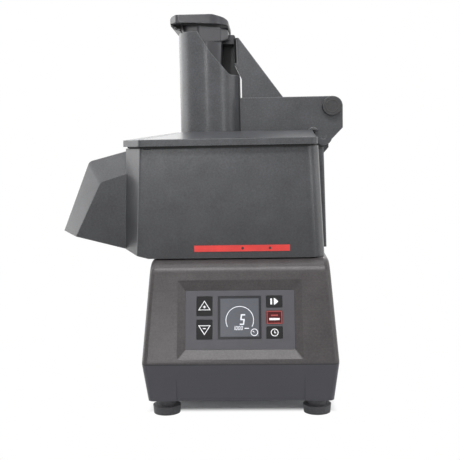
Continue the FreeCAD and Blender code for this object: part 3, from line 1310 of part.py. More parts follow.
def lid_seal():
    outer_inset, inner_inset = SEAL_BAND
    outer = prism(inset_polygon(bowl_top_plan(), outer_inset), smaller(BOWL_CORNER_RADII, outer_inset),
                  (BOWL_TOP_Z + SEAT_GAP, LID_BOTTOM_Z))
    inner = prism(inset_polygon(bowl_top_plan(), inner_inset), smaller(BOWL_CORNER_RADII, inner_inset),
                  (BOWL_TOP_Z, LID_BOTTOM_Z + OVER))
    return outer.cut(inner)


def bracket_left_x():
    """The bracket starts where the hopper's straight right side ends."""
    return TUBE_CENTRE_X + TUBE_HALF_WIDTH + TUBE_FIT


def bracket_wall(y_range):
    """One side wall, rounded about the pivot at the top and about the hinge pin below."""
    left_x = bracket_left_x()
    heel_x = LID_PIN_X - BRACKET_KNUCKLE_RADIUS
    lid_end_x = LID_PLAN[0][0] + 1.0
    corner_radius = BRACKET_TOP_Z - PIVOT_Z
    points = ((left_x, LID_TOP_Z), (left_x, BRACKET_TOP_Z), (BRACKET_END_X, BRACKET_TOP_Z),
              (BRACKET_END_X, BRACKET_CHAMFER_Z), (BRACKET_CHAMFER_X, BRACKET_HEEL_Z),
              (heel_x, BRACKET_HEEL_Z), (lid_end_x, LID_PIN_Z), (lid_end_x, LID_TOP_Z))
    edge = BRACKET_EDGE_RADIUS
    plate = side_plate(points, (0.0, 0.0, corner_radius, edge, edge, 0.0, 0.0, 0.0), y_range)
    knuckle = cross_rod(BRACKET_KNUCKLE_RADIUS, LID_PIN_X, LID_PIN_Z, y_range)
    return plate.fuse(knuckle)


def lever_bracket():
    """Channel on the lid that carries the lever: two side walls, a floor, a stop and two bosses."""
    inner_y = BRACKET_OUTER_Y - BRACKET_WALL
    boss_y = BRACKET_OUTER_Y + BRACKET_BOSS_LENGTH
    floor = box((bracket_left_x(), PLATEAU_PLAN[0][0]), (-inner_y, inner_y),
                (LID_TOP_Z, LID_TOP_Z + BRACKET_FLOOR_THICKNESS))
    stop = box((BRACKET_END_X - BRACKET_WALL, BRACKET_END_X), (-inner_y, inner_y),
               (BRACKET_STOP_BOTTOM_Z, BRACKET_STOP_TOP_Z))
    pieces = [bracket_wall((-BRACKET_OUTER_Y, -inner_y)), bracket_wall((inner_y, BRACKET_OUTER_Y)), floor,
              stop]
    above_lid = box((0.0, BRACKET_END_X), (-boss_y, boss_y), (LID_TOP_Z, BRACKET_TOP_Z))
    for side in (-1.0, 1.0):
        boss = cross_rod(BRACKET_BOSS_RADIUS, BRACKET_BOSS_X, LID_TOP_Z - BRACKET_BOSS_DROP,
                         (side * (BRACKET_OUTER_Y - OVER), side * boss_y))
        pieces.append(boss.common(above_lid))
    body = bored(fuse_all(pieces), LID_PIN_RADIUS + SCREW_FIT, LID_PIN_X, LID_PIN_Z,
                 BRACKET_OUTER_Y - LID_PIN_COVER)
    body = bored(body, PIVOT_PIN_RADIUS + RUNNING_FIT, PIVOT_X, PIVOT_Z, BRACKET_OUTER_Y + OVER)
    return body.removeSplitter()


def lid_hinge_pin():
    half = BRACKET_OUTER_Y - LID_PIN_COVER - LID_PIN_PLAY
    return cross_rod(LID_PIN_RADIUS, LID_PIN_X, LID_PIN_Z, (-half, half))


# Lever, pusher and handle

def arm_points():
    """Side view of the lever: a fin over the hopper and an arm back to the pivot."""
    arm_top = PIVOT_Z + ARM_END_RADIUS
    slope = (FIN_TIP[1] - FIN_FOOT[1]) / (FIN_FOOT[0] - FIN_TIP[0])
    foot_x = FIN_FOOT[0] + (FIN_FOOT[1] - arm_top) / slope
    return [(FIN_LEFT_X, FIN_TIP[1]), (FIN_TIP[0], FIN_TIP[1]), (foot_x, arm_top), (PIVOT_X, arm_top),
            (PIVOT_X, PIVOT_Z - ARM_END_RADIUS), (PIVOT_X - ARM_HEEL_REACH, ARM_BOTTOM_Z),
            (ARM_LEFT_X, ARM_BOTTOM_Z),
            (ARM_LEFT_X, FIN_HEEL_Z), (FIN_LEFT_X, FIN_NECK_Z)]


def lever_arm():
    """Hollow lever, open below, with bevelled front edges up the fin."""
    points = arm_points()
    outer = side_plate(points, ARM_RADII, (-ARM_HALF_Y, ARM_HALF_Y))
    end = cross_rod(ARM_END_RADIUS, PIVOT_X, PIVOT_Z, (-ARM_HALF_Y, ARM_HALF_Y))
    inner = inset_polygon(points, ARM_WALL)
    open_z = ARM_BOTTOM_Z - ARM_WALL
    inner[3] = (inner[3][0] - ARM_END_RADIUS, inner[3][1])
    inner[4] = (inner[4][0] - ARM_END_RADIUS, open_z)
    inner[5] = (inner[5][0] - ARM_END_RADIUS, open_z)
    inner[6] = (inner[6][0], open_z)
    hollow = side_plate(inner, (0.0,) * len(inner), (-ARM_HALF_Y + ARM_WALL, ARM_HALF_Y - ARM_WALL))
    body = outer.fuse(end).cut(hollow)
    for side in (-1.0, 1.0):
        y = side * ARM_HALF_Y
        bevel = Part.makePolygon([Vector(FIN_LEFT_X, y, FIN_NECK_Z),
                                  Vector(FIN_LEFT_X + FIN_BEVEL, y, FIN_NECK_Z),
                                  Vector(FIN_LEFT_X, y - side * FIN_BEVEL / 2, FIN_NECK_Z),
                                  Vector(FIN_LEFT_X, y, FIN_NECK_Z)])
        body = body.cut(Part.Face(bevel).extrude(Vector(0, 0, FIN_TIP[1] - FIN_NECK_Z)))
    body = bored(body, PIVOT_PIN_RADIUS + RUNNING_FIT, PIVOT_X, PIVOT_Z, ARM_HALF_Y + OVER)
    for x, y, z in lever_screw_places():
        body = body.cut(Part.makeCylinder(LEVER_SCREW_RADIUS + SCREW_FIT, 2 * ARM_WALL,
                                          Vector(x - ARM_WALL / 2, y, z), Vector(1, 0, 0)))
    return body.removeSplitter()


def lever_screw_places():
    """Where the screws that hold the pusher's web to the lever cross the lever's left face."""
    return [(FIN_LEFT_X, NECK_HALF_Y - WEB_THICKNESS / 2, z) for z in LEVER_SCREW_ZS]


def lever_screws():
    screws = []
    for x, y, z in lever_screw_places():
        shank = Part.makeCylinder(LEVER_SCREW_RADIUS, LEVER_SCREW_LENGTH + ARM_WALL,
                                  Vector(x - LEVER_SCREW_LENGTH, y, z), Vector(1, 0, 0))
        head = Part.makeCylinder(LEVER_SCREW_HEAD_RADIUS, LEVER_SCREW_HEAD_HEIGHT,
                                 Vector(x + ARM_WALL, y, z), Vector(1, 0, 0))
        screws.append(shank.fuse(head).removeSplitter())
    return Part.makeCompound(screws)


def cap_bottom_z(x):
    """Height of the sloping underside of the handle."""
    share = (x - CAP_LEFT_X) / (CAP_RIGHT_X - CAP_LEFT_X)
    return CAP_BOTTOM_LEFT_Z + share * (CAP_BOTTOM_RIGHT_Z - CAP_BOTTOM_LEFT_Z)


def pusher_flat_x(z):
    """Place of the pusher's slanting flat at one height."""
    share = (HEAD_BOTTOM_Z - z) / (HEAD_BOTTOM_Z - PUSHER_FOOT_TOP_Z)
    return PUSHER_FLAT_TOP_X + share * (PUSHER_FLAT_BOTTOM_X - PUSHER_FLAT_TOP_X)


def web_points():
    """Side view of the web that fills the room between the pusher's flat and the lever's fin."""
    top_z = HEAD_BOTTOM_Z + OVER
    slope = (FIN_NECK_Z - FIN_HEEL_Z) / (ARM_LEFT_X - FIN_LEFT_X)
    corner_x = FIN_LEFT_X + (FIN_NECK_Z - WEB_BOTTOM_Z) / slope - 2 * SEAT_GAP
    return ((pusher_flat_x(top_z) + SEAT_GAP, top_z), (pusher_flat_x(WEB_BOTTOM_Z) + SEAT_GAP, WEB_BOTTOM_Z),
            (corner_x, WEB_BOTTOM_Z), (FIN_LEFT_X, FIN_NECK_Z - 2 * SEAT_GAP * slope), (FIN_LEFT_X, top_z))


def pusher_head():
    """Collar between pusher and handle, with a neck and a web that reach to the lever."""
    right_x = HEAD_PLAN[0][0]
    heel_x = HEAD_PLAN[7][0]
    below_z = HEAD_BOTTOM_Z - OVER
    column = prism(HEAD_PLAN, HEAD_RADII, (HEAD_BOTTOM_Z, CAP_TOP_Z))
    above = ((CAP_LEFT_X, cap_bottom_z(CAP_LEFT_X)), (0.0, cap_bottom_z(0.0)), (0.0, CAP_TOP_Z + OVER),
             (CAP_LEFT_X, CAP_TOP_Z + OVER))
    column = column.cut(side_plate(above, (0.0,) * 4, (-CAP_HALF_Y, CAP_HALF_Y)))
    heel = ((heel_x, HEAD_BOTTOM_Z), (right_x + OVER, HEAD_BOTTOM_Z + HEAD_HEEL_RISE),
            (right_x + OVER, below_z),
            (heel_x, below_z))
    for y_range in ((-CAP_HALF_Y, -NECK_HALF_Y), (NECK_HALF_Y, CAP_HALF_Y)):
        column = column.cut(side_plate(heel, (0.0,) * 4, y_range))
    hook_x = FIN_LEFT_X + NECK_HOOK
    hook_z = FIN_TIP[1] + SEAT_GAP
    neck_points = ((right_x - NECK_LAP, HEAD_BOTTOM_Z), (FIN_LEFT_X, HEAD_BOTTOM_Z), (FIN_LEFT_X, hook_z),
                   (hook_x, hook_z), (hook_x, NECK_TOP_Z), (right_x - NECK_LAP, NECK_TOP_Z))
    neck_radii = (0.0, 0.0, 0.0, 0.0, NECK_RADIUS, 0.0)
    neck = side_plate(neck_points, neck_radii, (-NECK_HALF_Y, NECK_HALF_Y))
    web = side_plate(web_points(), (0.0,) * 5, (NECK_HALF_Y - WEB_THICKNESS, NECK_HALF_Y))
    hollow = prism(inset_polygon(HEAD_PLAN, HEAD_WALL), (HEAD_HOLLOW_RADIUS,) * len(HEAD_PLAN),
                   (below_z, HEAD_BOTTOM_Z + HEAD_HOLLOW_RISE))
    solid_y = NECK_HALF_Y + HEAD_HOLLOW_RADIUS
    solid_part = box((right_x - NECK_LAP - HEAD_WALL, 0.0), (-solid_y, solid_y), (below_z, CAP_TOP_Z))
    body = column.cut(hollow.cut(solid_part)).fuse(neck).fuse(web)
    reach = LEVER_SCREW_LENGTH + SEAT_GAP
    for x, y, z in lever_screw_places():
        body = body.cut(Part.makeCylinder(LEVER_SCREW_RADIUS + SCREW_FIT, reach + OVER,
                                          Vector(x - reach, y, z),
                                          Vector(1, 0, 0)))
    return body.removeSplitter()


def pusher_left_x(z):
    """Left side of the pusher: it follows its own path round the pivot, so it clears the hopper."""
    wall_x = tube_centre(PIVOT_Z) - tube_half_width(PIVOT_Z) + TUBE_WALL + PUSHER_CLEARANCE
    reach = PIVOT_X - wall_x
    drop = max(PIVOT_Z - z, 0.0)
    return max(PIVOT_X - math.sqrt(reach * reach - drop * drop),
               tube_centre(z) - tube_half_width(z) + TUBE_WALL + PUSHER_CLEARANCE)


def pusher_form(inset, bottom_z, top_z):
    """Outside of the plunger, or the same form moved inwards by one distance."""
    foot_wire = tube_outline(PUSHER_FOOT_HALF_WIDTH - inset, PUSHER_FOOT_CENTRE_X, PUSHER_STRAIGHT_HALF)
    foot_form = Part.makeLoft([foot_wire(bottom_z), foot_wire(PUSHER_FOOT_TOP_Z + inset)], True, True)
    heights = (PUSHER_FOOT_TOP_Z, PIVOT_Z, top_z)
    stages = []
    for low, high in zip(heights[:-1], heights[1:]):
        wires = []
        for z in (low, high):
            half_width = tube_half_width(z) - TUBE_WALL - PUSHER_CLEARANCE
            shrink = (pusher_left_x(z) - (tube_centre(z) - half_width)) / 2
            outline = tube_outline(half_width - shrink - inset, tube_centre(z) + shrink, PUSHER_STRAIGHT_HALF)
            wires.append(outline(z))
        stages.append(Part.makeLoft(wires, True, True))
    flat = ((PUSHER_FLAT_TOP_X - inset, HEAD_BOTTOM_Z), (PUSHER_FLAT_BOTTOM_X - inset, PUSHER_FOOT_TOP_Z),
            (PIVOT_X, PUSHER_FOOT_TOP_Z), (PIVOT_X, HEAD_BOTTOM_Z))
    half_y = TUBE_STRAIGHT_HALF + TUBE_HALF_WIDTH
    return fuse_all(stages).cut(side_plate(flat, (0.0,) * 4, (-half_y, half_y))).fuse(foot_form)


def pusher_body():
    """Plunger: a narrow foot that sweeps out of the hopper, and a stem cut flat on the lever's side."""
    outer = pusher_form(0.0, PUSHER_BOTTOM_Z, HEAD_BOTTOM_Z)
    inner = pusher_form(PUSHER_WALL, PUSHER_BOTTOM_Z + PUSHER_WALL, HEAD_BOTTOM_Z)
    return outer.cut(inner).removeSplitter()


def handle_cap():
    """Slab with a rounded back, chamfered corners and a lip for the fingers under its left end."""
    left_x = CAP_LEFT_X
    profile = ((left_x, CAP_BOTTOM_LEFT_Z), (left_x, CAP_TOP_Z - CAP_EDGE_DROP),
               (left_x + CAP_EDGE_WIDTH, CAP_TOP_Z), (CAP_BROW_X, CAP_TOP_Z),
               (CAP_SHOULDER_X, CAP_TOP_Z - CAP_SHOULDER_DROP), (CAP_RIGHT_X, CAP_TOP_Z - CAP_RIGHT_DROP),
               (CAP_RIGHT_X, CAP_BOTTOM_RIGHT_Z))
    slab = side_plate(profile, CAP_SIDE_RADII, (-CAP_HALF_Y, CAP_HALF_Y))
    front = ((left_x, -CAP_HALF_Y + CAP_LEFT_CUT[1]), (left_x + CAP_LEFT_CUT[0], -CAP_HALF_Y),
             (CAP_RIGHT_X, -CAP_HALF_Y))
    plan = front + tuple((x, -y) for x, y in reversed(front))
    front_radii = (CAP_PLAN_RADIUS, CAP_PLAN_RADIUS, CAP_RIGHT_RADIUS)
    column = prism(plan, front_radii + front_radii[::-1], (CAP_BOTTOM_RIGHT_Z - OVER, CAP_TOP_Z + OVER))
    top_z = CAP_BOTTOM_LEFT_Z + OVER
    low_z = CAP_BOTTOM_LEFT_Z - CAP_LIP_DEPTH
    lip_points = ((left_x, top_z), (left_x, CAP_BOTTOM_LEFT_Z - CAP_LIP_WALL / 2),
                  (left_x + CAP_LIP_WALL, low_z + CAP_LIP_WALL / 2), (left_x + CAP_LIP_WIDTH, low_z),
                  (left_x + CAP_LIP_WIDTH, low_z + CAP_LIP_WALL / 2),
                  (left_x + 2 * CAP_LIP_WALL, low_z + CAP_LIP_WALL),
                  (left_x + CAP_LIP_WALL, CAP_BOTTOM_LEFT_Z), (left_x + CAP_LIP_WALL, top_z))
    lip = side_plate(lip_points, (0.0, 2.0, 3.0, 0.0, 0.0, 2.0, 0.0, 0.0), (-CAP_LIP_HALF_Y, CAP_LIP_HALF_Y))
    return slab.common(column).fuse(lip).removeSplitter()


def pivot_pin():
    front_y = -BRACKET_OUTER_Y - KNOB_THICKNESS / 2
    return cross_rod(PIVOT_PIN_RADIUS, PIVOT_X, PIVOT_Z, (front_y, BRACKET_OUTER_Y + PIVOT_PIN_TAIL))


def pivot_knob():
    inner_y = -BRACKET_OUTER_Y - SEAT_GAP
    outer_y = -BRACKET_OUTER_Y - KNOB_THICKNESS
    disc = cross_rod(PIVOT_CAP_RADIUS, PIVOT_X, PIVOT_Z, (outer_y, inner_y))
    rim = [edge for edge in disc.Edges if abs(edge.CenterOfMass.y - outer_y) < SCREW_FIT]
    seat = cross_rod(PIVOT_PIN_RADIUS + SCREW_FIT, PIVOT_X, PIVOT_Z,
                     (outer_y + KNOB_THICKNESS / 2, inner_y + OVER))
    return disc.makeFillet(KNOB_EDGE_RADIUS, rim).cut(seat)


def all_parts():
    """Every sub-part by the name that its file carries."""
    feet = dict(zip(("foot_front_left", "foot_front_right", "foot_rear_left", "foot_rear_right"),
                    foot_places()))
    parts = {
        "base_housing": base_housing(),
        "base_plate": base_plate(),
        "base_plate_screws": base_plate_screws(),
        "foot_screws": foot_screws(),
        "panel_fascia": panel_fascia(),
        "display_window": display_window(),
        "display_module": display_module(),
        "circuit_board": circuit_board(),
        "board_standoffs": board_standoffs(),
        "key_switches": key_switches(),
        "chassis_plate": chassis_plate(),
        "chassis_standoffs": chassis_standoffs(),
        "bearing_housing": bearing_housing(),
        "upper_bearing": bearing(SPINDLE_FLANGE_TOP_Z - BEARING_WIDTH),
        "lower_bearing": bearing(BEARING_HOUSING_BOTTOM_Z),
        "spindle_spigot": spindle_spigot(),
        "spindle_bolts": spindle_bolts(),
        "shaft_seal": shaft_seal(),
        "motor_casing": motor_casing(),
        "motor_stator": motor_stator(),
        "drive_belt": drive_belt(),
        "drive_board": drive_board(),
        "cable_gland": cable_gland(),
        "bowl_locators": bowl_locators(),
        "drive_shaft": drive_shaft(),
        "driven_pulley": pulley(0.0, 0.0, DRIVEN_PULLEY_RADIUS, SHAFT_RADIUS + SCREW_FIT, PULLEY_HUB_RADIUS),
        "drive_pin": drive_pin(),
        "ejector_disc": ejector_disc(),
        "slicing_disc": slicing_disc(),
        "slicing_blades": slicing_blades(),
        "blade_screws": blade_screws(),
        "motor_rotor": motor_rotor(),
        "motor_pulley": pulley(MOTOR_X, MOTOR_Y, MOTOR_PULLEY_RADIUS, MOTOR_SHAFT_RADIUS + SCREW_FIT,
                               PULLEY_HUB_RADIUS),
        "cooling_fan": cooling_fan(),
        "bowl": bowl(),
        "discharge_chute": discharge_chute(),
        "hinge_post": hinge_post(),
        "marker_strip": marker_strip(),
        "lid_cover": lid_cover(),
        "lid_seal": lid_seal(),
        "hopper_tube": hopper_tube(),
        "lever_bracket": lever_bracket(),
        "lid_hinge_pin": lid_hinge_pin(),
        "lever_arm": lever_arm(),
        "lever_screws": lever_screws(),
        "pusher_head": pusher_head(),
        "pusher_body": pusher_body(),
        "handle_cap": handle_cap(),
        "pivot_pin": pivot_pin(),
        "pivot_knob": pivot_knob(),
    }
    for name, (x, y) in feet.items():
        parts[name] = foot(x, y)
    for name in KEYS:
        parts[name] = key(name)
    return parts


def centred(parts):
    """The sub-parts moved together, so that the origin lies under the middle of the machine's box."""
    whole = Part.makeCompound(list(parts.values())).optimalBoundingBox(True, False)
    move = Vector(-(whole.XMin + whole.XMax) / 2, -(whole.YMin + whole.YMax) / 2, 0.0)
    return {name: shape.translated(move) for name, shape in parts.items()}


def write_parts():
    os.makedirs("parts", exist_ok=True)
    for name, shape in centred(all_parts()).items():
        if not shape.isValid():
            raise ValueError(name + " is not a valid shape")
        shape.exportStep("parts/" + name + ".step")


write_parts()
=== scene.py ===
import json
import logging
import math
from abc import ABC, abstractmethod
from dataclasses import dataclass, field
from enum import Enum

import bmesh
import bpy
from mathutils import Matrix, Vector


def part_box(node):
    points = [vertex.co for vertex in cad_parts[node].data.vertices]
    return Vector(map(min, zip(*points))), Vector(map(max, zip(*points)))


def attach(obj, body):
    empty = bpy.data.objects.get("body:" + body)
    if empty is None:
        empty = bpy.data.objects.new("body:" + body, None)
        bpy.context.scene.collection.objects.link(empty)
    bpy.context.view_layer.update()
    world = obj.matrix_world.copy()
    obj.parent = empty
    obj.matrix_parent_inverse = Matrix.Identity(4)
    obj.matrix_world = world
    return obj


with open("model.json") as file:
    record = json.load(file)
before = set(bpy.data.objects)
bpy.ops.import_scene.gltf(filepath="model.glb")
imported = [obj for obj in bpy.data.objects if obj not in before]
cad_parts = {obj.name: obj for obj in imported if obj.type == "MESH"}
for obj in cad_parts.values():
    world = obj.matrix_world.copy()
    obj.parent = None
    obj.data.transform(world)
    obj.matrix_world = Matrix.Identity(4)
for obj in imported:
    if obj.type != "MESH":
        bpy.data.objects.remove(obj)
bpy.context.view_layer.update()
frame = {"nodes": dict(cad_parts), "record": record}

log = logging.getLogger("vegetable_cutter")
logging.basicConfig(level=logging.INFO)

MM = 0.001
Colour = tuple[float, float, float, float]
Point2 = tuple[float, float]
Point3 = tuple[float, float, float]
Loops = list[list[Point2]]
Tree = bpy.types.NodeTree
Node = bpy.types.Node
Socket = bpy.types.NodeSocket

# A noise pattern seldom leaves this range, so tones are spread over it.
NOISE_RANGE = (0.3, 0.7)
# A wave texture at scale 1 turns through this many radians in a metre.
RADIANS_AT_UNIT_SCALE = 20
# Stretch of a pattern that turns it into level lines.
LEVEL_LINES = (0.04, 1.0, 1.0)
UP = Vector((0.0, 0.0, 1.0))


def linear(code: str) -> Colour:
    """Turn an sRGB hex value into the linear colour that a shader takes.

    Args:
        code: Six hex digits, with or without a leading mark.

    Returns:
        Red, green, blue and alpha, with alpha at 1.
    """
    digits = code.lstrip("#")
    parts = [int(digits[i:i + 2], 16) / 255 for i in (0, 2, 4)]
    red, green, blue = (p / 12.92 if p <= 0.04045 else ((p + 0.055) / 1.055) ** 2.4 for p in parts)
    return (red, green, blue, 1.0)


def add_node(tree: Tree, kind: str, settings: dict | None = None, links: dict | None = None) -> Node:
    """Add one shader node with its settings and links.

    Args:
        tree: Node tree of the material or world.
        kind: Blender's name for the node type.
        settings: Values by property name, or by input name or index.
        links: Sockets by the input name or index that they feed.

    Returns:
        The new node.
    """
    node = tree.nodes.new(kind)
    for key, value in (settings or {}).items():
        if isinstance(key, str) and hasattr(node, key):
            setattr(node, key, value)
        else:
            node.inputs[key].default_value = value
    for key, socket in (links or {}).items():
        tree.links.new(socket, node.inputs[key])
    return node


def per_mm(size_mm: float) -> float:
    """Texture scale at which one feature of the pattern is as long as the given size."""
    return 1.0 / (size_mm * MM)


def noise(tree: Tree, place: Socket, size_mm: float, detail: float = 2.0) -> Socket:
    """Noise pattern from 0 to 1, with features as long as the given size."""
    return add_node(tree, "ShaderNodeTexNoise", {"Scale": per_mm(size_mm), "Detail": detail},
                    {"Vector": place}).outputs["Fac"]


def level_lines(tree: Tree, place: Socket, size_mm: float) -> Socket:
    """Noise pattern drawn out into level lines as wide as the given size."""
    stretch = add_node(tree, "ShaderNodeMapping", {"Scale": LEVEL_LINES}, {"Vector": place})
    return noise(tree, stretch.outputs["Vector"], size_mm, 3.0)


def height_of(tree: Tree, place: Socket) -> Socket:
    """Height of a place above the table, in metres."""
    return add_node(tree, "ShaderNodeSeparateXYZ", {}, {"Vector": place}).outputs["Z"]


def map_range(tree: Tree, value: Socket, start: Point2, end: Point2) -> Socket:
    """Carry a value from one range to another.

    Args:
        tree: Node tree of the material or world.
        value: The value.
        start: Range that it comes from; outside it the value is held.
        end: Range that it is carried to.

    Returns:
        The socket of the new value.
    """
    settings = {"From Min": start[0], "From Max": start[1], "To Min": end[0], "To Max": end[1]}
    return add_node(tree, "ShaderNodeMapRange", settings, {"Value": value}).outputs["Result"]


def brightened(tree: Tree, colour: Socket, gain: Socket) -> Socket:
    """Colour with its brightness multiplied by a gain."""
    return add_node(tree, "ShaderNodeHueSaturation", {}, {"Color": colour, "Value": gain}).outputs["Color"]


def two_colours(tree: Tree, pattern: Socket, codes: tuple[str, str], stops: Point2 = (0.0, 1.0)) -> Socket:
    """Blend from one colour to another along a pattern.

    Args:
        tree: Node tree of the material.
        pattern: Pattern from 0 to 1.
        codes: The two colours as sRGB hex values.
        stops: Values of the pattern at which each colour is pure.

    Returns:
        The colour socket.
    """
    ramp = add_node(tree, "ShaderNodeValToRGB", {}, {"Fac": pattern})
    for element, code, stop in zip(ramp.color_ramp.elements, codes, stops):
        element.position = stop
        element.color = linear(code)
    return ramp.outputs["Color"]


@dataclass(frozen=True)
class Finish(ABC):
    """What a surface is made of and how it was finished."""

    # Edges look rounded by edge_mm; gloss_film is the share of a clear film over the colour.
    colour: str
    roughness: float
    edge_mm: float = 0.8
    metallic: float = 0.0
    ior: float = 1.5
    specular: float = 0.5
    gloss_film: float = 0.0
    film_roughness: float = 0.2
    edge_samples: int = 4

    def material(self, name: str) -> bpy.types.Material:
        """Build the node material of this finish.

        Args:
            name: Name of the material.

        Returns:
            The finished material.
        """
        made = bpy.data.materials.new(name)
        made.use_nodes = True
        tree = made.node_tree
        shader = tree.nodes["Principled BSDF"]
        shader.inputs["Base Color"].default_value = linear(self.colour)
        shader.inputs["Roughness"].default_value = self.roughness
        shader.inputs["Metallic"].default_value = self.metallic
        shader.inputs["IOR"].default_value = self.ior
        shader.inputs["Specular IOR Level"].default_value = self.specular
        shader.inputs["Coat Weight"].default_value = self.gloss_film
        shader.inputs["Coat Roughness"].default_value = self.film_roughness
        place = add_node(tree, "ShaderNodeTexCoord").outputs["Object"]
        rounding = add_node(tree, "ShaderNodeBevel",
                            {"samples": self.edge_samples, "Radius": self.edge_mm * MM})
        self.dress(tree, shader, place, rounding.outputs["Normal"])
        return made

    @abstractmethod
    def dress(self, tree: Tree, shader: Node, place: Socket, normal: Socket) -> None:
        """Add the pattern of the finish.

        Args:
            tree: Node tree of the material.
            shader: Its surface shader.
            place: Coordinates on the piece, in metres.
            normal: Normal with rounded edges.
        """

    def tone(self, tree: Tree, pattern: Socket, spread: float) -> Socket:
        """Colour that a pattern makes lighter and darker.

        Args:
            tree: Node tree of the material.
            pattern: Pattern from 0 to 1.
            spread: Share by which the brightness changes each way.

        Returns:
            The colour socket.
        """
        gain = map_range(tree, pattern, NOISE_RANGE, (1 - spread, 1 + spread))
        return add_node(tree, "ShaderNodeHueSaturation", {"Color": linear(self.colour)},
                        {"Value": gain}).outputs["Color"]

    def dull(self, tree: Tree, shader: Node, pattern: Socket, change: Point2) -> None:
        """Make the surface smoother and duller by a pattern.

        Args:
            tree: Node tree of the material.
            shader: Its surface shader.
            pattern: Pattern from 0 to 1.
            change: What the pattern's 0 and its 1 add to the roughness.
        """
        least, most = (self.roughness + step for step in change)
        tree.links.new(map_range(tree, pattern, (0.0, 1.0), (least, most)), shader.inputs["Roughness"])

    def bump(self, tree: Tree, shader: Node, pattern: Socket, depth_mm: float, normal: Socket) -> None:
        """Raise and sink the surface by a pattern.

        Args:
            tree: Node tree of the material.
            shader: Its surface shader.
            pattern: Pattern from 0 to 1.
            depth_mm: Height from the pattern's 0 to its 1.
            normal: Normal with rounded edges.
        """
        add = add_node(tree, "ShaderNodeBump", {"Distance": depth_mm * MM, "Strength": 1.0},
                       {"Height": pattern, "Normal": normal})
        tree.links.new(add.outputs["Normal"], shader.inputs["Normal"])


@dataclass(frozen=True)
class PowderCoatedCasting(Finish):
    """Cast aluminium with a satin polyester powder coat that holds fine metal flake."""

    # The flake gives the eye a dull silvery grain and the flow of the powder a faint orange peel.
    # Edges carry a painted highlight in a lighter colour, and the coat is darkened low down as painted shade.
    fleck_mm: float = 2.2
    cloud_mm: float = 30.0
    cloud_share: float = 0.45
    mottle: float = 0.34
    peel_mm: float = 2.4
    peel_depth_mm: float = 0.03
    gloss_change: Point2 = (-0.05, 0.07)
    # Painted highlight along edges: its colour, its greatest share, and the turn of the normal over which it
    # grows.
    edge_highlight: str = "#9c9d9f"
    edge_highlight_share: float = 0.5
    edge_highlight_turn: Point2 = (0.99, 0.80)
    # Painted shade: the heights over which the colour darkens towards the bottom, and the gain at the lower
    # one.
    shade_heights_mm: Point2 = (200.0, 345.0)
    low_shade_gain: float = 1.0

    def mottled(self, tree: Tree, fleck: Socket, place: Socket) -> Socket:
        """Colour of the coat with its flake and clouds, darkened low down by painted shade.

        Args:
            tree: Node tree of the material.
            fleck: Pattern of the flake.
            place: Coordinates on the piece, in metres.

        Returns:
            The colour socket.
        """
        cloud = noise(tree, place, self.cloud_mm, 3.0)
        both = add_node(tree, "ShaderNodeMix", {"Factor": self.cloud_share}, {"A": fleck, "B": cloud})
        colour = self.tone(tree, both.outputs["Result"], self.mottle)
        # Painted shade: the colour darkens towards the bottom.
        low, high = self.shade_heights_mm
        painted_shade = map_range(tree, height_of(tree, place), (low * MM, high * MM), (self.low_shade_gain, 1.0))
        return brightened(tree, colour, painted_shade)

    def edge_highlighted(self, tree: Tree, colour: Socket, normal: Socket) -> Socket:
        """Colour that turns lighter where the rounded normal leaves the flat one: a painted highlight along
        edges.

        Args:
            tree: Node tree of the material.
            colour: Colour of the coat.
            normal: Normal with rounded edges.

        Returns:
            The colour socket.
        """
        flat = add_node(tree, "ShaderNodeNewGeometry")
        turn = add_node(tree, "ShaderNodeVectorMath", {"operation": "DOT_PRODUCT"},
                        {0: normal, 1: flat.outputs["Normal"]})
        edge = map_range(tree, turn.outputs["Value"], self.edge_highlight_turn, (0.0, self.edge_highlight_share))
        return add_node(tree, "ShaderNodeMixRGB", {"Color2": linear(self.edge_highlight)},
                        {"Fac": edge, "Color1": colour}).outputs["Color"]

    def dress(self, tree: Tree, shader: Node, place: Socket, normal: Socket) -> None:
        """Add flake, cloudiness, orange peel, painted edge highlights and painted shade low down."""
        fleck = noise(tree, place, self.fleck_mm)
        colour = self.edge_highlighted(tree, self.mottled(tree, fleck, place), normal)
        tree.links.new(colour, shader.inputs["Base Color"])
        self.dull(tree, shader, fleck, self.gloss_change)
        self.bump(tree, shader, noise(tree, place, self.peel_mm, 1.0), self.peel_depth_mm, normal)


@dataclass(frozen=True)
class BrushedCoatedHousing(PowderCoatedCasting):
    """Die-cast housing, brushed across its face before a tinted satin coat."""

    # The brushing shows through the coat as faint level streaks, darker and lighter by turns;
    # the skirt below the crease has the coat alone and looks cooler, with a thin dark line of painted shadow
    # along the crease.
    streak_mm: float = 1.6
    streak_gain: Point2 = (0.86, 1.14)
    skirt: str = "#44444b"
    skirt_top_mm: float = 76.9
    skirt_blend_mm: float = 0.5
    # line and line_mm: colour and width of the painted shadow along the crease.
    line: str = "#29292c"
    line_mm: float = 1.5

    def dress(self, tree: Tree, shader: Node, place: Socket, normal: Socket) -> None:
        """Add level streaks above the crease, and the painted shadow line and the skirt below it."""
        super().dress(tree, shader, place, normal)
        coat = shader.inputs["Base Color"].links[0].from_socket
        gain = map_range(tree, level_lines(tree, place, self.streak_mm), (0.0, 1.0), self.streak_gain)
        height = height_of(tree, place)
        crease, blend, half_shadow = self.skirt_top_mm, self.skirt_blend_mm, self.line_mm / 2
        above = map_range(tree, height, ((crease - blend) * MM, (crease + blend) * MM), (0.0, 1.0))
        whole = add_node(tree, "ShaderNodeMixRGB", {"Color1": linear(self.skirt)},
                         {"Fac": above, "Color2": brightened(tree, coat, gain)})
        # Painted shadow: a thin dark band just under the crease.
        line = add_node(tree, "ShaderNodeMath",
                        {"operation": "COMPARE", 1: (crease - half_shadow) * MM, 2: half_shadow * MM},
                        {0: height})
        crease_shadowed = add_node(tree, "ShaderNodeMixRGB", {"Color2": linear(self.line)},
                         {"Fac": line.outputs["Value"], "Color1": whole.outputs["Color"]})
        tree.links.new(crease_shadowed.outputs["Color"], shader.inputs["Base Color"])


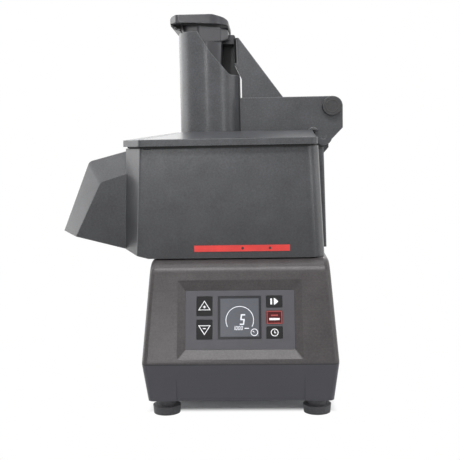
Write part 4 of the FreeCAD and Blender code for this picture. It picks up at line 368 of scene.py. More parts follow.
@dataclass(frozen=True)
class MouldedPlastic(Finish):
    """Injection-moulded ABS or polyamide out of a spark-eroded mould."""

    # The eroded mould leaves a fine even grain that softens every highlight.
    grain_mm: float = 0.8
    depth_mm: float = 0.02
    spread: float = 0.10
    flow_mm: float = 18.0

    def dress(self, tree: Tree, shader: Node, place: Socket, normal: Socket) -> None:
        """Add the mould's grain and a faint unevenness of colour."""
        grain = add_node(tree, "ShaderNodeTexVoronoi", {"Scale": per_mm(self.grain_mm)},
                         {"Vector": place})
        flow = noise(tree, place, self.flow_mm)
        tree.links.new(self.tone(tree, flow, self.spread), shader.inputs["Base Color"])
        self.bump(tree, shader, grain.outputs["Distance"], self.depth_mm, normal)


@dataclass(frozen=True)
class MouldedRubber(Finish):
    """Moulded synthetic rubber, slightly dusty."""

    # Matt and grainy, with pale dust in the pores.
    pore_mm: float = 1.1
    depth_mm: float = 0.06
    dust: str = "#7a7a7c"
    dust_stops: Point2 = (0.45, 0.85)

    def dress(self, tree: Tree, shader: Node, place: Socket, normal: Socket) -> None:
        """Add pores and dust."""
        pores = noise(tree, place, self.pore_mm, 4.0)
        dusty = two_colours(tree, pores, (self.colour, self.dust), self.dust_stops)
        tree.links.new(dusty, shader.inputs["Base Color"])
        self.bump(tree, shader, pores, self.depth_mm, normal)


@dataclass(frozen=True)
class MachinedMetal(Finish):
    """Steel or aluminium, turned, ground or brushed bare."""

    # Fine tool lines stretch each highlight across themselves and break it into threads.
    metallic: float = 1.0
    line_mm: float = 0.35
    depth_mm: float = 0.008
    spread: float = 0.22
    gloss_change: Point2 = (-0.08, 0.10)

    def dress(self, tree: Tree, shader: Node, place: Socket, normal: Socket) -> None:
        """Add tool lines to colour, roughness and height."""
        lines = level_lines(tree, place, self.line_mm)
        tree.links.new(self.tone(tree, lines, self.spread), shader.inputs["Base Color"])
        self.dull(tree, shader, lines, self.gloss_change)
        self.bump(tree, shader, lines, self.depth_mm, normal)


@dataclass(frozen=True)
class WavyMetal(Finish):
    """Metal whose lines repeat evenly and are drawn by a wave."""

    # A radian of the wave is radian_mm long; waver bends its lines.
    radian_mm: float = 1.0
    depth_mm: float = 0.006
    spread: float = 0.12
    waver: float = 1.5

    def wave(self, tree: Tree, shader: Node, place: Socket, normal: Socket, settings: dict) -> None:
        """Add the wave to colour and height.

        Args:
            tree: Node tree of the material.
            shader: Its surface shader.
            place: Coordinates on the piece, in metres.
            normal: Normal with rounded edges.
            settings: Kind and direction of the wave.
        """
        scale = per_mm(self.radian_mm) / RADIANS_AT_UNIT_SCALE
        lines = add_node(tree, "ShaderNodeTexWave", {**settings, "Scale": scale, "Distortion": self.waver},
                         {"Vector": place}).outputs["Fac"]
        tree.links.new(self.tone(tree, lines, self.spread), shader.inputs["Base Color"])
        self.bump(tree, shader, lines, self.depth_mm, normal)


@dataclass(frozen=True)
class SpunMetal(WavyMetal):
    """Stainless disc or aluminium pulley, brushed round its own axis."""

    # The rings catch light in two opposite fans, as on any spun disc.
    metallic: float = 1.0
    radian_mm: float = 0.9
    axis: Point2 = (0.0, 0.0)

    def dress(self, tree: Tree, shader: Node, place: Socket, normal: Socket) -> None:
        """Add rings round the axis."""
        shift = add_node(tree, "ShaderNodeMapping", {"Location": (-self.axis[0], -self.axis[1], 0.0)},
                         {"Vector": place})
        self.wave(tree, shader, shift.outputs["Vector"], normal,
                  {"wave_type": "RINGS", "rings_direction": "Z", "Detail": 3.0})


@dataclass(frozen=True)
class StackedIron(WavyMetal):
    """Motor core of stacked sheet iron."""

    # Half-millimetre sheets are too fine to show, so each stripe stands for about a dozen.
    metallic: float = 0.6
    depth_mm: float = 0.1
    spread: float = 0.5
    waver: float = 0.4

    def dress(self, tree: Tree, shader: Node, place: Socket, normal: Socket) -> None:
        """Add the edges of the stacked sheets."""
        self.wave(tree, shader, place, normal, {"bands_direction": "Z"})


@dataclass(frozen=True)
class SpangledZinc(Finish):
    """Hot-dip galvanised sheet steel."""

    # Zinc crystals a few millimetres wide show as flat patches of slightly different grey.
    metallic: float = 0.85
    crystal_mm: float = 9.0
    spread: float = 0.16
    gloss_change: Point2 = (-0.1, 0.12)

    def dress(self, tree: Tree, shader: Node, place: Socket, normal: Socket) -> None:
        """Add the zinc crystals."""
        cells = add_node(tree, "ShaderNodeTexVoronoi", {"Scale": per_mm(self.crystal_mm)},
                         {"Vector": place})
        split = add_node(tree, "ShaderNodeSeparateColor", {}, {"Color": cells.outputs["Color"]})
        tree.links.new(self.tone(tree, split.outputs["Red"], self.spread), shader.inputs["Base Color"])
        self.dull(tree, shader, split.outputs["Green"], self.gloss_change)
        tree.links.new(normal, shader.inputs["Normal"])


@dataclass(frozen=True)
class SandCastIron(Finish):
    """Grey iron as cast in sand, lightly primed."""

    # The sand leaves a coarse pitted skin with dull mixed greys.
    metallic: float = 0.3
    grit_mm: float = 1.8
    depth_mm: float = 0.25
    spread: float = 0.45

    def dress(self, tree: Tree, shader: Node, place: Socket, normal: Socket) -> None:
        """Add the sand's pits."""
        grit = add_node(tree, "ShaderNodeTexNoise", {"Scale": per_mm(self.grit_mm), "Detail": 6.0,
                                                     "Roughness": 0.65}, {"Vector": place})
        tree.links.new(self.tone(tree, grit.outputs["Fac"], self.spread), shader.inputs["Base Color"])
        self.bump(tree, shader, grit.outputs["Fac"], self.depth_mm, normal)


@dataclass(frozen=True)
class SolderMaskedLaminate(Finish):
    """Glass-fibre circuit board under a green solder mask."""

    # Copper tracks show through the mask as a net of lighter lines.
    track_mm: float = 4.0
    track: str = "#2f7a48"
    track_stops: Point2 = (0.06, 0.10)

    def dress(self, tree: Tree, shader: Node, place: Socket, normal: Socket) -> None:
        """Add tracks under the mask."""
        cells = add_node(tree, "ShaderNodeTexVoronoi",
                         {"feature": "DISTANCE_TO_EDGE", "Scale": per_mm(self.track_mm)}, {"Vector": place})
        tracks = two_colours(tree, cells.outputs["Distance"], (self.track, self.colour), self.track_stops)
        tree.links.new(tracks, shader.inputs["Base Color"])
        tree.links.new(normal, shader.inputs["Normal"])


@dataclass(frozen=True)
class TintedScreen(Finish):
    """Smoke-tinted acrylic window over a dim display."""

    # Smooth and glossy, with the display's faint bluish glow lighter towards its top.
    low_z: float = 0.0
    high_z: float = 1.0
    low: str = "#4b4d53"
    speck_mm: float = 5.0
    speck_share: float = 0.15

    def dress(self, tree: Tree, shader: Node, place: Socket, normal: Socket) -> None:
        """Add the display's glow behind the tint."""
        height = map_range(tree, height_of(tree, place), (self.low_z, self.high_z), (0.0, 1.0))
        blend = add_node(tree, "ShaderNodeMix", {"Factor": self.speck_share},
                         {"A": height, "B": noise(tree, place, self.speck_mm)})
        glow = two_colours(tree, blend.outputs["Result"], (self.low, self.colour))
        tree.links.new(glow, shader.inputs["Base Color"])
        tree.links.new(normal, shader.inputs["Normal"])


@dataclass(frozen=True)
class PrintedInk(Finish):
    """Screen-printed ink, or lit segments of a display."""

    # Ink lies opaque, its colour very slightly mottled; lit segments glow a little, and the white and red
    # printed inks glow a little too as a painted highlight.
    glow: float = 0.0
    speck_mm: float = 1.5
    spread: float = 0.06

    def dress(self, tree: Tree, shader: Node, place: Socket, normal: Socket) -> None:
        """Add the ink's faint unevenness and the glow."""
        colour = self.tone(tree, noise(tree, place, self.speck_mm), self.spread)
        tree.links.new(colour, shader.inputs["Base Color"])
        tree.links.new(colour, shader.inputs["Emission Color"])
        shader.inputs["Emission Strength"].default_value = self.glow
        tree.links.new(normal, shader.inputs["Normal"])


def shaft_place() -> Vector:
    """Find the foot of the shaft's axis.

    Returns:
        The point on the table under it, in metres.
    """
    low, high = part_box("drive_shaft")
    middle = (low + high) / 2
    return Vector((middle.x, middle.y, 0.0))


SHAFT = shaft_place()


def finishes() -> dict[str, Finish]:
    """List the finishes.

    Returns:
        The finish of each material slot of the record.
    """
    screen_low, screen_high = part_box("display_window")
    return {
        # The lighter edge colour of each coat is a painted highlight; the castings are also darkened low down
        # as painted shade.
        "base_coating": BrushedCoatedHousing("#454142", 0.46, 1.8, specular=0.2, gloss_film=0.5,
                                             film_roughness=0.26, edge_highlight="#747172"),
        "casting_coating": PowderCoatedCasting("#48494c", 0.40, 2.2, specular=0.2, gloss_film=0.6,
                                               film_roughness=0.26, low_shade_gain=0.55),
        "knob_coating": PowderCoatedCasting("#333335", 0.50, 0.8, cloud_mm=12.0, edge_highlight="#4a4a4c"),
        "pusher_plastic": MouldedPlastic("#3e3e42", 0.44, 1.6, specular=0.2, gloss_film=0.4,
                                         film_roughness=0.24),
        "fascia_foil": MouldedPlastic("#56555a", 0.42, 0.2, grain_mm=0.5, depth_mm=0.008, spread=0.06,
                                      specular=0.4),
        "key_plastic": MouldedPlastic("#1d1c1e", 0.50, 0.4, grain_mm=0.5, depth_mm=0.008, specular=0.25),
        "stop_key_plastic": MouldedPlastic("#4e1216", 0.48, 0.4, grain_mm=0.5, depth_mm=0.008,
                                           specular=0.25),
        "window_plastic": TintedScreen("#2b2b30", 0.30, 0.3, low_z=screen_low.z, high_z=screen_high.z,
                                       low="#26262a", specular=0.3),
        "black_plastic": MouldedPlastic("#1e1e1f", 0.45, 0.5),
        "fan_plastic": MouldedPlastic("#303033", 0.5, 0.5),
        "marker_plastic": MouldedPlastic("#ea4440", 0.38, 0.2, grain_mm=1.4, depth_mm=0.006, spread=0.08),
        "foot_rubber": MouldedRubber("#545457", 0.72, 1.2, dust="#727274"),
        "seal_rubber": MouldedRubber("#1b1b1c", 0.7, 0.4, dust="#3a3a3b"),
        "belt_rubber": MouldedRubber("#222223", 0.7, 0.4, dust="#444446"),
        "galvanised_sheet": SpangledZinc("#a9abae", 0.42, 0.4),
        "machine_steel": MachinedMetal("#b4b5b8", 0.30, 0.3),
        "blade_steel": MachinedMetal("#d2d4d6", 0.18, 0.2, line_mm=0.3),
        "disc_steel": SpunMetal("#a9abae", 0.36, 0.4, axis=(SHAFT.x, SHAFT.y)),
        "pulley_aluminium": SpunMetal("#bcbdc1", 0.32, 0.4, axis=(SHAFT.x, SHAFT.y), radian_mm=1.4),
        "cast_iron_grey": SandCastIron("#6f7072", 0.62, 0.8),
        "motor_iron": StackedIron("#56575a", 0.5, 0.3),
        "board_laminate": SolderMaskedLaminate("#1c5a34", 0.35, 0.2),
    }


class PrintFinish(Enum):
    """Inks and lit segments on the panel."""

    # The glow of the white and red inks is a painted highlight that makes the printed signs read brighter.
    WHITE = ("printed_white_ink", PrintedInk("#f2f2f4", 0.5, 0.02, glow=0.25), "key_plastic")
    RED = ("printed_red_ink", PrintedInk("#b24f4e", 0.5, 0.02, glow=0.03), "stop_key_plastic")
    SCREEN = ("lit_screen", PrintedInk("#565961", 0.30, 0.02), "window_plastic")
    SEGMENT = ("lit_segment", PrintedInk("#e8eaf0", 0.5, 0.02, glow=0.35), "window_plastic")

    def material(self) -> bpy.types.Material:
        """The material of this print, made once."""
        name, finish, _ = self.value
        return bpy.data.materials.get(name) or finish.material(name)


def dress_nodes() -> None:
    """Give each CAD node the finish of its slot."""
    made = {slot: finish.material(slot) for slot, finish in finishes().items()}
    for part in frame["record"]["subparts"]:
        mesh = frame["nodes"][part["node"]].data
        finish = made[part["material_slot"]]
        if mesh.materials:
            mesh.materials[0] = finish
        else:
            mesh.materials.append(finish)


@dataclass
class FacePlane:
    """A flat face of a node: a point on it, its right and up directions and its outward normal."""

    centre: Vector
    right: Vector
    up: Vector
    out: Vector

    def at(self, u: float, v: float, lift: float) -> Vector:
        """Point at distances to the right, up and out, in metres."""
        return self.centre + self.right * u + self.up * v + self.out * lift


def add_piece(name: str, work: bmesh.types.BMesh, material: bpy.types.Material, body: str) -> bpy.types.Object:
    """Turn a worked mesh into a piece that rides on a body.

    Args:
        name: Name of the piece.
        work: Its mesh, used up here.
        material: Its material.
        body: Body that it rides on.

    Returns:
        The piece.
    """
    mesh = bpy.data.meshes.new(name)
    work.to_mesh(mesh)
    work.free()
    mesh.materials.append(material)
    piece = bpy.data.objects.new(name, mesh)
    bpy.context.scene.collection.objects.link(piece)
    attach(piece, body)
    return piece


def arc(centre: Point2, radius: float, start: float, end: float, steps: int) -> tuple[Point2, ...]:
    """Points along an arc.

    Args:
        centre: Centre in millimetres.
        radius: Radius in millimetres.
        start: First angle in degrees.
        end: Last angle in degrees.
        steps: Number of stretches.

    Returns:
        The points, first and last included.
    """
    angles = [math.radians(start + (end - start) * k / steps) for k in range(steps + 1)]
    return tuple((centre[0] + radius * math.cos(a), centre[1] + radius * math.sin(a)) for a in angles)


def circle(centre: Point2, radius: float) -> tuple[Point2, ...]:
    """Points round a circle, each of them once."""
    return arc(centre, radius, 0, 360, 36)[:-1]


@dataclass(frozen=True)
class Stroke:
    """Line of a print, its points in millimetres from the middle of the face."""

    # The share keeps the mitre of a sharp corner short.
    width: float
    path: tuple[Point2, ...]
    closed: bool = False
    least_share: float = 0.35

    def loops(self) -> Loops:
        """Give the line its width.

        Returns:
            Closed outlines, one quadrangle for each stretch.
        """
        path, count = self.path, len(self.path)
        edges = []
        for k in range(count):
            before = path[k - 1] if self.closed or k > 0 else path[k]
            after = path[(k + 1) % count] if self.closed or k < count - 1 else path[k]
            d1 = Vector((path[k][0] - before[0], path[k][1] - before[1]))
            d2 = Vector((after[0] - path[k][0], after[1] - path[k][1]))
            d1 = d1.normalized() if d1.length else d2.normalized()
            d2 = d2.normalized() if d2.length else d1
            mitre = (d1 + d2).normalized()
            side = Vector((-mitre.y, mitre.x))
            share = max(side.dot(Vector((-d1.y, d1.x))), self.least_share)
            edges.append(side * (self.width / 2 / share))
        strokes = []
        for k in range(count if self.closed else count - 1):
            n = (k + 1) % count
            a, b = Vector(path[k]), Vector(path[n])
            quad = [a + edges[k], b + edges[n], b - edges[n], a - edges[k]]
            strokes.append([(p.x, p.y) for p in quad])
        return strokes


@dataclass(frozen=True)
class Figure:
    """Slanted figure of lit segments, in millimetres from the middle of the face.

    The corner is its lower left one, and the strokes are letters from a to g for its lit segments.
    """

    strokes: str
    corner: Point2
    size: Point2
    line: float
    slant: float = 0.12
    overlap: float = 0.45

    def loops(self) -> Loops:
        """Draw the lit segments.

        Returns:
            Closed outlines of the segments.
        """
        (x, y), (width, height) = self.corner, self.size
        half = height / 2

        def lean(px: float, py: float) -> Point2:
            """Point moved to the right by its height."""
            return (x + px + self.slant * py, y + py)

        ends = {
            "a": (lean(0, height), lean(width, height)), "b": (lean(width, half), lean(width, height)),
            "c": (lean(width, 0), lean(width, half)), "d": (lean(0, 0), lean(width, 0)),
            "e": (lean(0, 0), lean(0, half)), "f": (lean(0, half), lean(0, height)),
            "g": (lean(0, half), lean(width, half)),
        }
        loops = []
        for key in self.strokes:
            (ax, ay), (bx, by) = ends[key]
            run = Vector((bx - ax, by - ay)).normalized() * self.line * self.overlap
            loops += Stroke(self.line, ((ax - run.x, ay - run.y), (bx + run.x, by + run.y))).loops()
        return loops


@dataclass(frozen=True)
class Sign:
    """Print on a key, made of strokes and perhaps one filled outline."""

    name: str
    key: str
    ink: PrintFinish
    strokes: tuple[Stroke, ...]
    filled: tuple[Point2, ...] = ()


SIGNS = (
    Sign("key_speed_up_sign", "key_speed_up", PrintFinish.WHITE,
         (Stroke(1.0, ((-7.4, -5.0), (7.4, -5.0), (0.0, 6.6)), closed=True),
          Stroke(1.3, ((-1.9, -1.2), (1.9, -1.2))), Stroke(1.3, ((0.0, -3.1), (0.0, 0.7))))),
    Sign("key_speed_down_sign", "key_speed_down", PrintFinish.WHITE,
         (Stroke(1.0, ((-7.4, 5.0), (7.4, 5.0), (0.0, -6.6)), closed=True),
          Stroke(1.3, ((-1.9, 1.2), (1.9, 1.2))))),
    Sign("start_sign", "key_start", PrintFinish.WHITE, (Stroke(2.4, ((-4.0, -4.0), (-4.0, 4.0))),),
         ((-0.6, -4.4), (0.6, -4.4), (5.0, -0.7), (5.0, 0.7), (0.6, 4.4), (-0.6, 4.4))),
    Sign("stop_frame", "key_stop", PrintFinish.RED,
         (Stroke(1.1, ((-9.6, -7.9), (9.6, -7.9), (9.6, 7.9), (-9.6, 7.9)), closed=True),)),
    Sign("stop_bar", "key_stop", PrintFinish.WHITE, (Stroke(2.8, ((-6.8, -2.4), (6.8, -2.4))),)),
    Sign("stop_upper_bar", "key_stop", PrintFinish.RED, (Stroke(1.9, ((-4.6, 2.6), (4.6, 2.6))),)),
    Sign("timer_sign", "key_timer", PrintFinish.WHITE,
         (Stroke(1.0, circle((0.0, 0.0), 4.5), closed=True),
          Stroke(1.1, ((0.0, 2.6), (0.0, -0.4), (2.0, -0.4))))),
)

# Gauge arc, large figure, four small figures, dash, and the clock with its hand.
READOUT = (
    Stroke(0.9, arc((0.2, -3.6), 18.2, -28, 208, 48)),
    Figure("afgcd", (1.0, -9.0), (4.2, 12.4), 1.7),
    Figure("bc", (-8.6, -16.2), (1.9, 4.4), 0.6),
    *(Figure("abcdef", (-8.6 + 3.4 * k, -16.2), (1.9, 4.4), 0.6) for k in (1, 2, 3)),
    Stroke(1.2, ((6.4, -14.4), (12.4, -14.4))),
    Stroke(0.9, circle((19.3, -19.7), 4.4), closed=True),
    Stroke(0.8, ((19.3, -19.7), (17.1, -17.7))),
)


@dataclass
class ControlPanel:
    """Printed signs, key frames and the lit display on the tilted panel."""

    # A print reaches from gap_mm to ink_mm above its face, and points within face_mm are on a face.
    tilt_deg: float = 18.7
    gap_mm: float = 0.01
    ink_mm: float = 0.06
    face_mm: float = 0.2
    screen_mm: Point2 = (25.3, 25.2)
    made: list[bpy.types.Object] = field(default_factory=list)

    def plane(self, node: str) -> FacePlane:
        """Front face of a node on the panel.

        Args:
            node: Name of the CAD node.

        Returns:
            Its face, centred on the part of the node that reaches furthest out.
        """
        tilt = math.radians(self.tilt_deg)
        out = Vector((0.0, -math.cos(tilt), math.sin(tilt)))
        up = Vector((0.0, math.sin(tilt), math.cos(tilt)))
        corners = [v.co for v in frame["nodes"][node].data.vertices]
        reach = max(c.dot(out) for c in corners)
        front = [c for c in corners if reach - c.dot(out) < self.face_mm * MM]
        middle_x = (min(c.x for c in front) + max(c.x for c in front)) / 2
        heights = [c.dot(up) for c in front]
        middle_up = (min(heights) + max(heights)) / 2
        centre = Vector((middle_x, 0, 0)) + up * middle_up + out * reach
        return FacePlane(centre, Vector((1, 0, 0)), up, out)

    def outline(self, name: str, body: str, plane: FacePlane, loops: Loops, ink: PrintFinish) -> None:
        """Make one thin printed shape from filled loops.

        Args:
            name: Name of the piece.
            body: Body that it rides on.
            plane: Face that it lies on.
            loops: Closed outlines in millimetres, each filled by itself.
            ink: Its print.
        """
        work = bmesh.new()
        for loop in loops:
            low = [work.verts.new(plane.at(u * MM, v * MM, self.gap_mm * MM)) for u, v in loop]
            high = [work.verts.new(plane.at(u * MM, v * MM, self.ink_mm * MM)) for u, v in loop]
            work.faces.new(high)
            for k in range(len(loop)):
                n = (k + 1) % len(loop)
                work.faces.new((low[k], low[n], high[n], high[k]))
        bmesh.ops.recalc_face_normals(work, faces=work.faces)
        bmesh.ops.triangulate(work, faces=[f for f in work.faces if len(f.verts) > 4])
        self.made.append(add_piece(name, work, ink.material(), body))

    def key_signs(self) -> None:
        """Signs on the keys."""
        for sign in SIGNS:
            loops = [loop for stroke in sign.strokes for loop in stroke.loops()]
            if sign.filled:
                loops.append(list(sign.filled))
            self.outline(sign.name, sign.key, self.plane(sign.key), loops, sign.ink)

    def display(self) -> None:
        """Lit field of the display with everything that it shows."""
        plane = self.plane("display_window")
        side, top = self.screen_mm
        screen = [[(-side, -top), (side, -top), (side, top), (-side, top)]]
        self.outline("display_field", "base", plane, screen, PrintFinish.SCREEN)
        front = FacePlane(plane.at(0, 0, self.ink_mm * MM), plane.right, plane.up, plane.out)
        loops = [loop for drawn in READOUT for loop in drawn.loops()]
        self.outline("display_segments", "base", front, loops, PrintFinish.SEGMENT)

    def build(self) -> None:
        """Make every print of the panel."""
        self.key_signs()
        self.display()
        log.info("panel: %d prints", len(self.made))


@dataclass(frozen=True)
class Rail:
    """Path in metres that carries a section, with the section's two directions."""

    path: list[Vector]
    outs: list[Vector]
    up: Vector
    closed: bool


def upright_circle(middle: Vector, radius_mm: float, steps: int) -> Rail:
    """Circle that faces the front.

    Args:
        middle: Its middle in metres.
        radius_mm: Its radius.
        steps: Number of its stretches.

    Returns:
        The rail, with sections that look forward.
    """
    angles = [2 * math.pi * k / steps for k in range(steps)]
    outs = [Vector((math.cos(a), 0.0, math.sin(a))) for a in angles]
    return Rail([middle + out * (radius_mm * MM) for out in outs], outs, Vector((0.0, -1.0, 0.0)), True)


@dataclass
class Trims:
    """Small parts of the shell that give its seams and edges their lines; two of them, under the lid and under
    the cap, are black strips of painted shadow.

    Each section is an outline in millimetres, measured out from its rail and up from it.
    """

    # Lip, a black strip of painted shadow under the lid's edge: its lower and upper height, and the radius and
    # inset of the two front corners.
    lid_shadow_mm: Point2 = (356.4, 359.3)
    lid_shadow_web_mm: float = 1.0
    corner_mm: float = 5.0
    inset_mm: Point2 = (20.0, 24.0)
    corner_deg: Point2 = (200, 270)
    corner_steps: int = 8
    step_deg: float = 10
    # Black strip of painted shadow under the cap: its height, how far it stands out, its right end,
    # and the line that it hangs from, given by a point and a fall in each millimetre to the right.
    cap_shadow_mm: float = 3.0
    cap_shadow_out_mm: float = 0.7
    cap_shadow_right_mm: float = 40.4
    line_mm: Point2 = (-27.5, 528.6)
    fall: float = 0.082
    # Bead of the fin, ring of the knob and pins of the marker strip.
    fin_mm: tuple[Point3, ...] = ((47.6, -15.7, 508.0), (48.2, -15.7, 474.0))
    ring_mm: float = 8.6
    pin_mm: float = 0.9
    pin_lift_mm: float = 0.3
    pins_mm: tuple[Point2, ...] = ((57.45, 221.62), (94.15, 221.62))
    made: list[bpy.types.Object] = field(default_factory=list)

    def sweep(self, name: str, rail: Rail, section: list[Point2], body: str, slot: str) -> None:
        """Carry a section along a rail.

        Args:
            name: Name of the piece.
            rail: Where the section runs.
            section: Closed outline of the section in millimetres.
            body: Body that it rides on.
            slot: Its material slot, which has its material too.
        """
        work = bmesh.new()
        rows = [[work.verts.new(at + out * (a * MM) + rail.up * (b * MM)) for a, b in section]
                for at, out in zip(rail.path, rail.outs)]
        count = len(section)
        for k in range(len(rows) if rail.closed else len(rows) - 1):
            here, after = rows[k], rows[(k + 1) % len(rows)]
            for m in range(count):
                n = (m + 1) % count
                work.faces.new((here[m], here[n], after[n], after[m]))
        if not rail.closed:
            work.faces.new(rows[0])
            work.faces.new(rows[-1])
        bmesh.ops.recalc_face_normals(work, faces=work.faces)
        self.made.append(add_piece(name, work, bpy.data.materials[slot], body))

    def lid_shadow_lip(self) -> None:
        """Black strip of painted shadow under the edge of the lid, along the front and round its two corners.
        """
        low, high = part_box("bowl")
        left, right = self.inset_mm
        radius = self.corner_mm * MM
        path, outs = [], []
        for middle_x, start in zip((low.x + left * MM, high.x - right * MM), self.corner_deg):
            for k in range(self.corner_steps):
                angle = math.radians(start + k * self.step_deg)
                out = Vector((math.cos(angle), math.sin(angle), 0.0))
                path.append(Vector((middle_x, low.y + radius, 0.0)) + out * radius)
                outs.append(out)
        foot, top = self.lid_shadow_mm
        web = top - self.lid_shadow_web_mm
        section = [(0.1, foot), (0.9, foot), (0.9, top), (-1.5, top), (-1.5, web), (0.1, web)]
        self.sweep("lid_shadow_lip", Rail(path, outs, UP, False), section, "lid", "seal_rubber")

    def cap_shadow_strip(self) -> None:
        """Black strip of painted shadow between the pusher's head and its cap."""
        low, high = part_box("pusher_head")
        margin = self.cap_shadow_out_mm
        left, right = low.x / MM - margin, self.cap_shadow_right_mm
        front, back = low.y / MM - margin, high.y / MM + margin
        line_x, line_z = self.line_mm
        path = [Vector((x * MM, y * MM, (line_z - self.fall * (x - line_x)) * MM))
                for x, y in ((left, front), (right, front), (right, back), (left, back))]
        middle = sum(path, Vector()) / len(path)
        outs = [Vector((math.copysign(1.0, p.x - middle.x), math.copysign(1.0, p.y - middle.y), 0.0))
                for p in path]
        section = [(-1.5, -self.cap_shadow_mm), (0.0, -self.cap_shadow_mm), (0.0, -0.1), (-1.5, -0.1)]
        self.sweep("cap_shadow_strip", Rail(path, outs, UP, True), section, "lever", "seal_rubber")

    def fin_bevel(self) -> None:
        """Bevelled bead down the fin's free edge."""
        path = [Vector(point) * MM for point in self.fin_mm]
        rail = Rail(path, [Vector((1.0, 0.0, 0.0))] * len(path), Vector((0.0, 1.0, 0.0)), False)
        section = [(0.0, 2.2), (0.6, 0.9), (2.6, -0.5), (4.4, 0.2), (4.6, 1.2)]
        self.sweep("fin_bevel", rail, section, "lever", "casting_coating")

    def knob_ring(self) -> None:
        """Raised ring on the face of the knob."""
        low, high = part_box("pivot_knob")
        middle = Vector(((low.x + high.x) / 2, low.y, (low.z + high.z) / 2))
        section = [(-0.8, -0.02), (-0.5, 0.45), (0.5, 0.45), (0.8, -0.02)]
        rail = upright_circle(middle, self.ring_mm, 36)
        self.sweep("knob_ring", rail, section, "lever_pin", "knob_coating")

    def marker_pins(self) -> None:
        """Dark heads of the two pins that hold the marker strip."""
        low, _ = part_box("marker_strip")
        section = [(-0.9, 0.0), (0.85, 0.0), (0.85, 0.2), (-0.9, 0.35)]
        for number, (x, z) in enumerate(self.pins_mm):
            rail = upright_circle(Vector((x * MM, low.y + self.pin_lift_mm * MM, z * MM)), self.pin_mm, 18)
            self.sweep(f"marker_pin_{number + 1}", rail, section, "bowl_body", "black_plastic")

    def build(self) -> None:
        """Make every trim."""
        self.marker_pins()
        self.lid_shadow_lip()
        self.cap_shadow_strip()
        self.fin_bevel()
        self.knob_ring()
        log.info("trims: %d pieces", len(self.made))


@dataclass(frozen=True)
class Lamp:
    """Rectangular studio lamp that faces the middle of the machine."""

    name: str
    place_m: Point3
    size_m: Point2
    power_w: float
    aim_m: Point3 = (0.0, 0.0, 0.28)

    def build(self) -> None:
        """Add the lamp to the scene."""
        data = bpy.data.lights.new(self.name, "AREA")
        data.shape = "RECTANGLE"
        data.size, data.size_y = self.size_m
        data.energy = self.power_w
        lamp = bpy.data.objects.new(self.name, data)
        place = Vector(self.place_m)
        aim = Vector(self.aim_m) - place
        lamp.matrix_world = Matrix.Translation(place) @ aim.to_track_quat("-Z", "Y").to_matrix().to_4x4()
        bpy.context.scene.collection.objects.link(lamp)


LAMPS = (
    Lamp("left_side", (-1.3, 0.30, 0.6), (0.7, 1.4), 6.0),
    Lamp("left_high", (-0.8, -0.1, 1.3), (0.6, 0.8), 2.0),
    Lamp("left_back", (-0.9, 0.9, 0.9), (0.8, 1.0), 4.0),
    Lamp("top_box", (0.0, 0.1, 1.7), (1.0, 1.0), 7.0),
    Lamp("top_front", (0.0, -0.55, 0.95), (0.9, 0.2), 5.0),
    Lamp("hopper_strip", (-0.27, -1.9, 0.75), (0.04, 0.5), 3.4),
    Lamp("right_side", (1.3, 0.1, 0.6), (0.6, 1.4), 2.5),
    Lamp("right_front", (1.3, -0.95, 0.75), (0.3, 1.0), 3.5),
    Lamp("back_top", (0.0, 1.3, 1.3), (1.6, 0.8), 9.0),
)


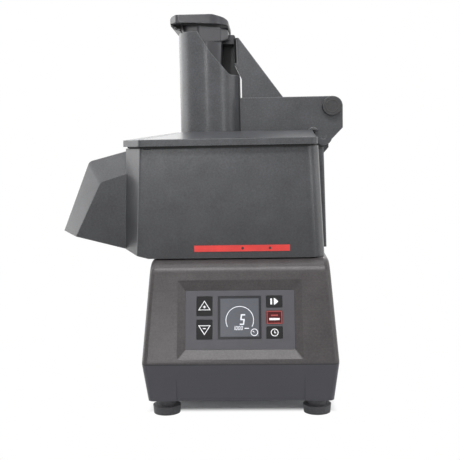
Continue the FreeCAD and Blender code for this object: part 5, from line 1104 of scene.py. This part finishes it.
@dataclass
class Studio:
    """White studio: floor, world, lamps and the camera of the photograph."""

    # The eye is measured from the shaft's foot. The floor turns white over shadow_mm, measured out
    # from the base's box, whose depth is taken front_mm shorter at each end.
    focal_px: float = 854.0
    image_px: float = 460.0
    sensor_mm: float = 36.0
    pitch_deg: float = 5.70
    yaw_deg: float = 2.48
    roll_deg: float = 1.02
    eye_mm: Point3 = (37.0, -1255.0, 360.0)
    ambient: float = 0.12
    shadow_mm: Point2 = (-20.0, 2.0)
    front_mm: float = 42.0
    reach_m: float = 4.0
    floor_colour: Colour = (0.8, 0.8, 0.8, 1.0)
    floor_roughness: float = 0.9
    floor_specular: float = 0.1

    def camera(self) -> None:
        """Place the camera as the photograph was taken."""
        pitch, yaw, roll = (math.radians(a) for a in (self.pitch_deg, self.yaw_deg, self.roll_deg))
        level_share = math.cos(pitch)
        ahead = Vector((-math.sin(yaw) * level_share, math.cos(yaw) * level_share, -math.sin(pitch)))
        level = Vector((math.cos(yaw), math.sin(yaw), 0.0))
        above = level.cross(ahead)
        right = math.cos(roll) * level - math.sin(roll) * above
        up = math.sin(roll) * level + math.cos(roll) * above
        data = bpy.data.cameras.new("photo_camera")
        data.sensor_width = self.sensor_mm
        data.lens = self.focal_px / self.image_px * self.sensor_mm
        eye = bpy.data.objects.new("photo_camera", data)
        turn = Matrix((right, up, -ahead)).transposed().to_4x4()
        eye.matrix_world = Matrix.Translation(SHAFT + Vector(self.eye_mm) * MM) @ turn
        bpy.context.scene.collection.objects.link(eye)
        bpy.context.scene.camera = eye

    def seen_white(self, tree: Tree) -> Socket:
        """Tell the rays that see a background from those that only light the scene.

        Args:
            tree: Node tree of the material or world.

        Returns:
            Factor that is 1 where the eye, gloss or glass sees a background.
        """
        path = add_node(tree, "ShaderNodeLightPath")
        total = path.outputs["Is Camera Ray"]
        for name in ("Is Glossy Ray", "Is Transmission Ray"):
            total = add_node(tree, "ShaderNodeMath", {"operation": "MAXIMUM"},
                             {0: total, 1: path.outputs[name]}).outputs["Value"]
        return total

    def world(self) -> None:
        """White world that lights the object at a plain level."""
        world = bpy.data.worlds.new("white_studio")
        bpy.context.scene.world = world
        world.use_nodes = True
        tree = world.node_tree
        shader = tree.nodes["Background"]
        shader.inputs["Color"].default_value = (1.0, 1.0, 1.0, 1.0)
        strength = map_range(tree, self.seen_white(tree), (0.0, 1.0), (self.ambient, 1.0))
        tree.links.new(strength, shader.inputs["Strength"])

    def floor(self) -> None:
        """Pale floor that keeps the shadow close to the feet and turns white further out."""
        reach = self.reach_m
        mesh = bpy.data.meshes.new("floor")
        corners = [(-reach, -reach, 0), (reach, -reach, 0), (reach, reach, 0), (-reach, reach, 0)]
        mesh.from_pydata(corners, [], [(0, 1, 2, 3)])
        finish = bpy.data.materials.new("pale_floor")
        finish.use_nodes = True
        tree = finish.node_tree
        shader = tree.nodes["Principled BSDF"]
        shader.inputs["Base Color"].default_value = self.floor_colour
        shader.inputs["Roughness"].default_value = self.floor_roughness
        shader.inputs["Specular IOR Level"].default_value = self.floor_specular
        place = add_node(tree, "ShaderNodeTexCoord").outputs["Object"]
        low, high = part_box("base_housing")
        middle = (low + high) / 2
        from_middle = add_node(tree, "ShaderNodeVectorMath",
                               {"operation": "SUBTRACT", 1: (middle.x, middle.y, 0.0)}, {0: place})
        spread = add_node(tree, "ShaderNodeVectorMath", {"operation": "ABSOLUTE"},
                          {0: from_middle.outputs["Vector"]})
        half = (high - low) / 2
        edge = (half.x, half.y - self.front_mm * MM, 0.0)
        beyond = add_node(tree, "ShaderNodeVectorMath", {"operation": "SUBTRACT", 1: edge},
                          {0: spread.outputs["Vector"]})
        split = add_node(tree, "ShaderNodeSeparateXYZ", {}, {"Vector": beyond.outputs["Vector"]})
        far = add_node(tree, "ShaderNodeMath", {"operation": "MAXIMUM"},
                       {0: split.outputs["X"], 1: split.outputs["Y"]})
        fade = add_node(tree, "ShaderNodeMapRange",
                        {"interpolation_type": "SMOOTHSTEP", "From Min": self.shadow_mm[0] * MM,
                         "From Max": self.shadow_mm[1] * MM}, {"Value": far.outputs["Value"]})
        white = add_node(tree, "ShaderNodeEmission", {"Strength": 1.0})
        share = add_node(tree, "ShaderNodeMath", {"operation": "MULTIPLY"},
                         {0: fade.outputs["Result"], 1: self.seen_white(tree)})
        mix = add_node(tree, "ShaderNodeMixShader", {},
                       {0: share.outputs["Value"], 1: shader.outputs["BSDF"], 2: white.outputs["Emission"]})
        out = tree.nodes["Material Output"]
        tree.links.new(mix.outputs["Shader"], out.inputs["Surface"])
        mesh.materials.append(finish)
        floor = bpy.data.objects.new("floor", mesh)
        bpy.context.scene.collection.objects.link(floor)

    def build(self) -> None:
        """Set up the whole studio."""
        self.camera()
        self.world()
        self.floor()
        for lamp in LAMPS:
            lamp.build()
        view = bpy.context.scene.view_settings
        view.view_transform = "Standard"


def main() -> None:
    """Dress the machine, add its prints and set up the studio."""
    Studio().build()
    dress_nodes()
    ControlPanel().build()
    Trims().build()


if __name__ == "__main__":
    main()
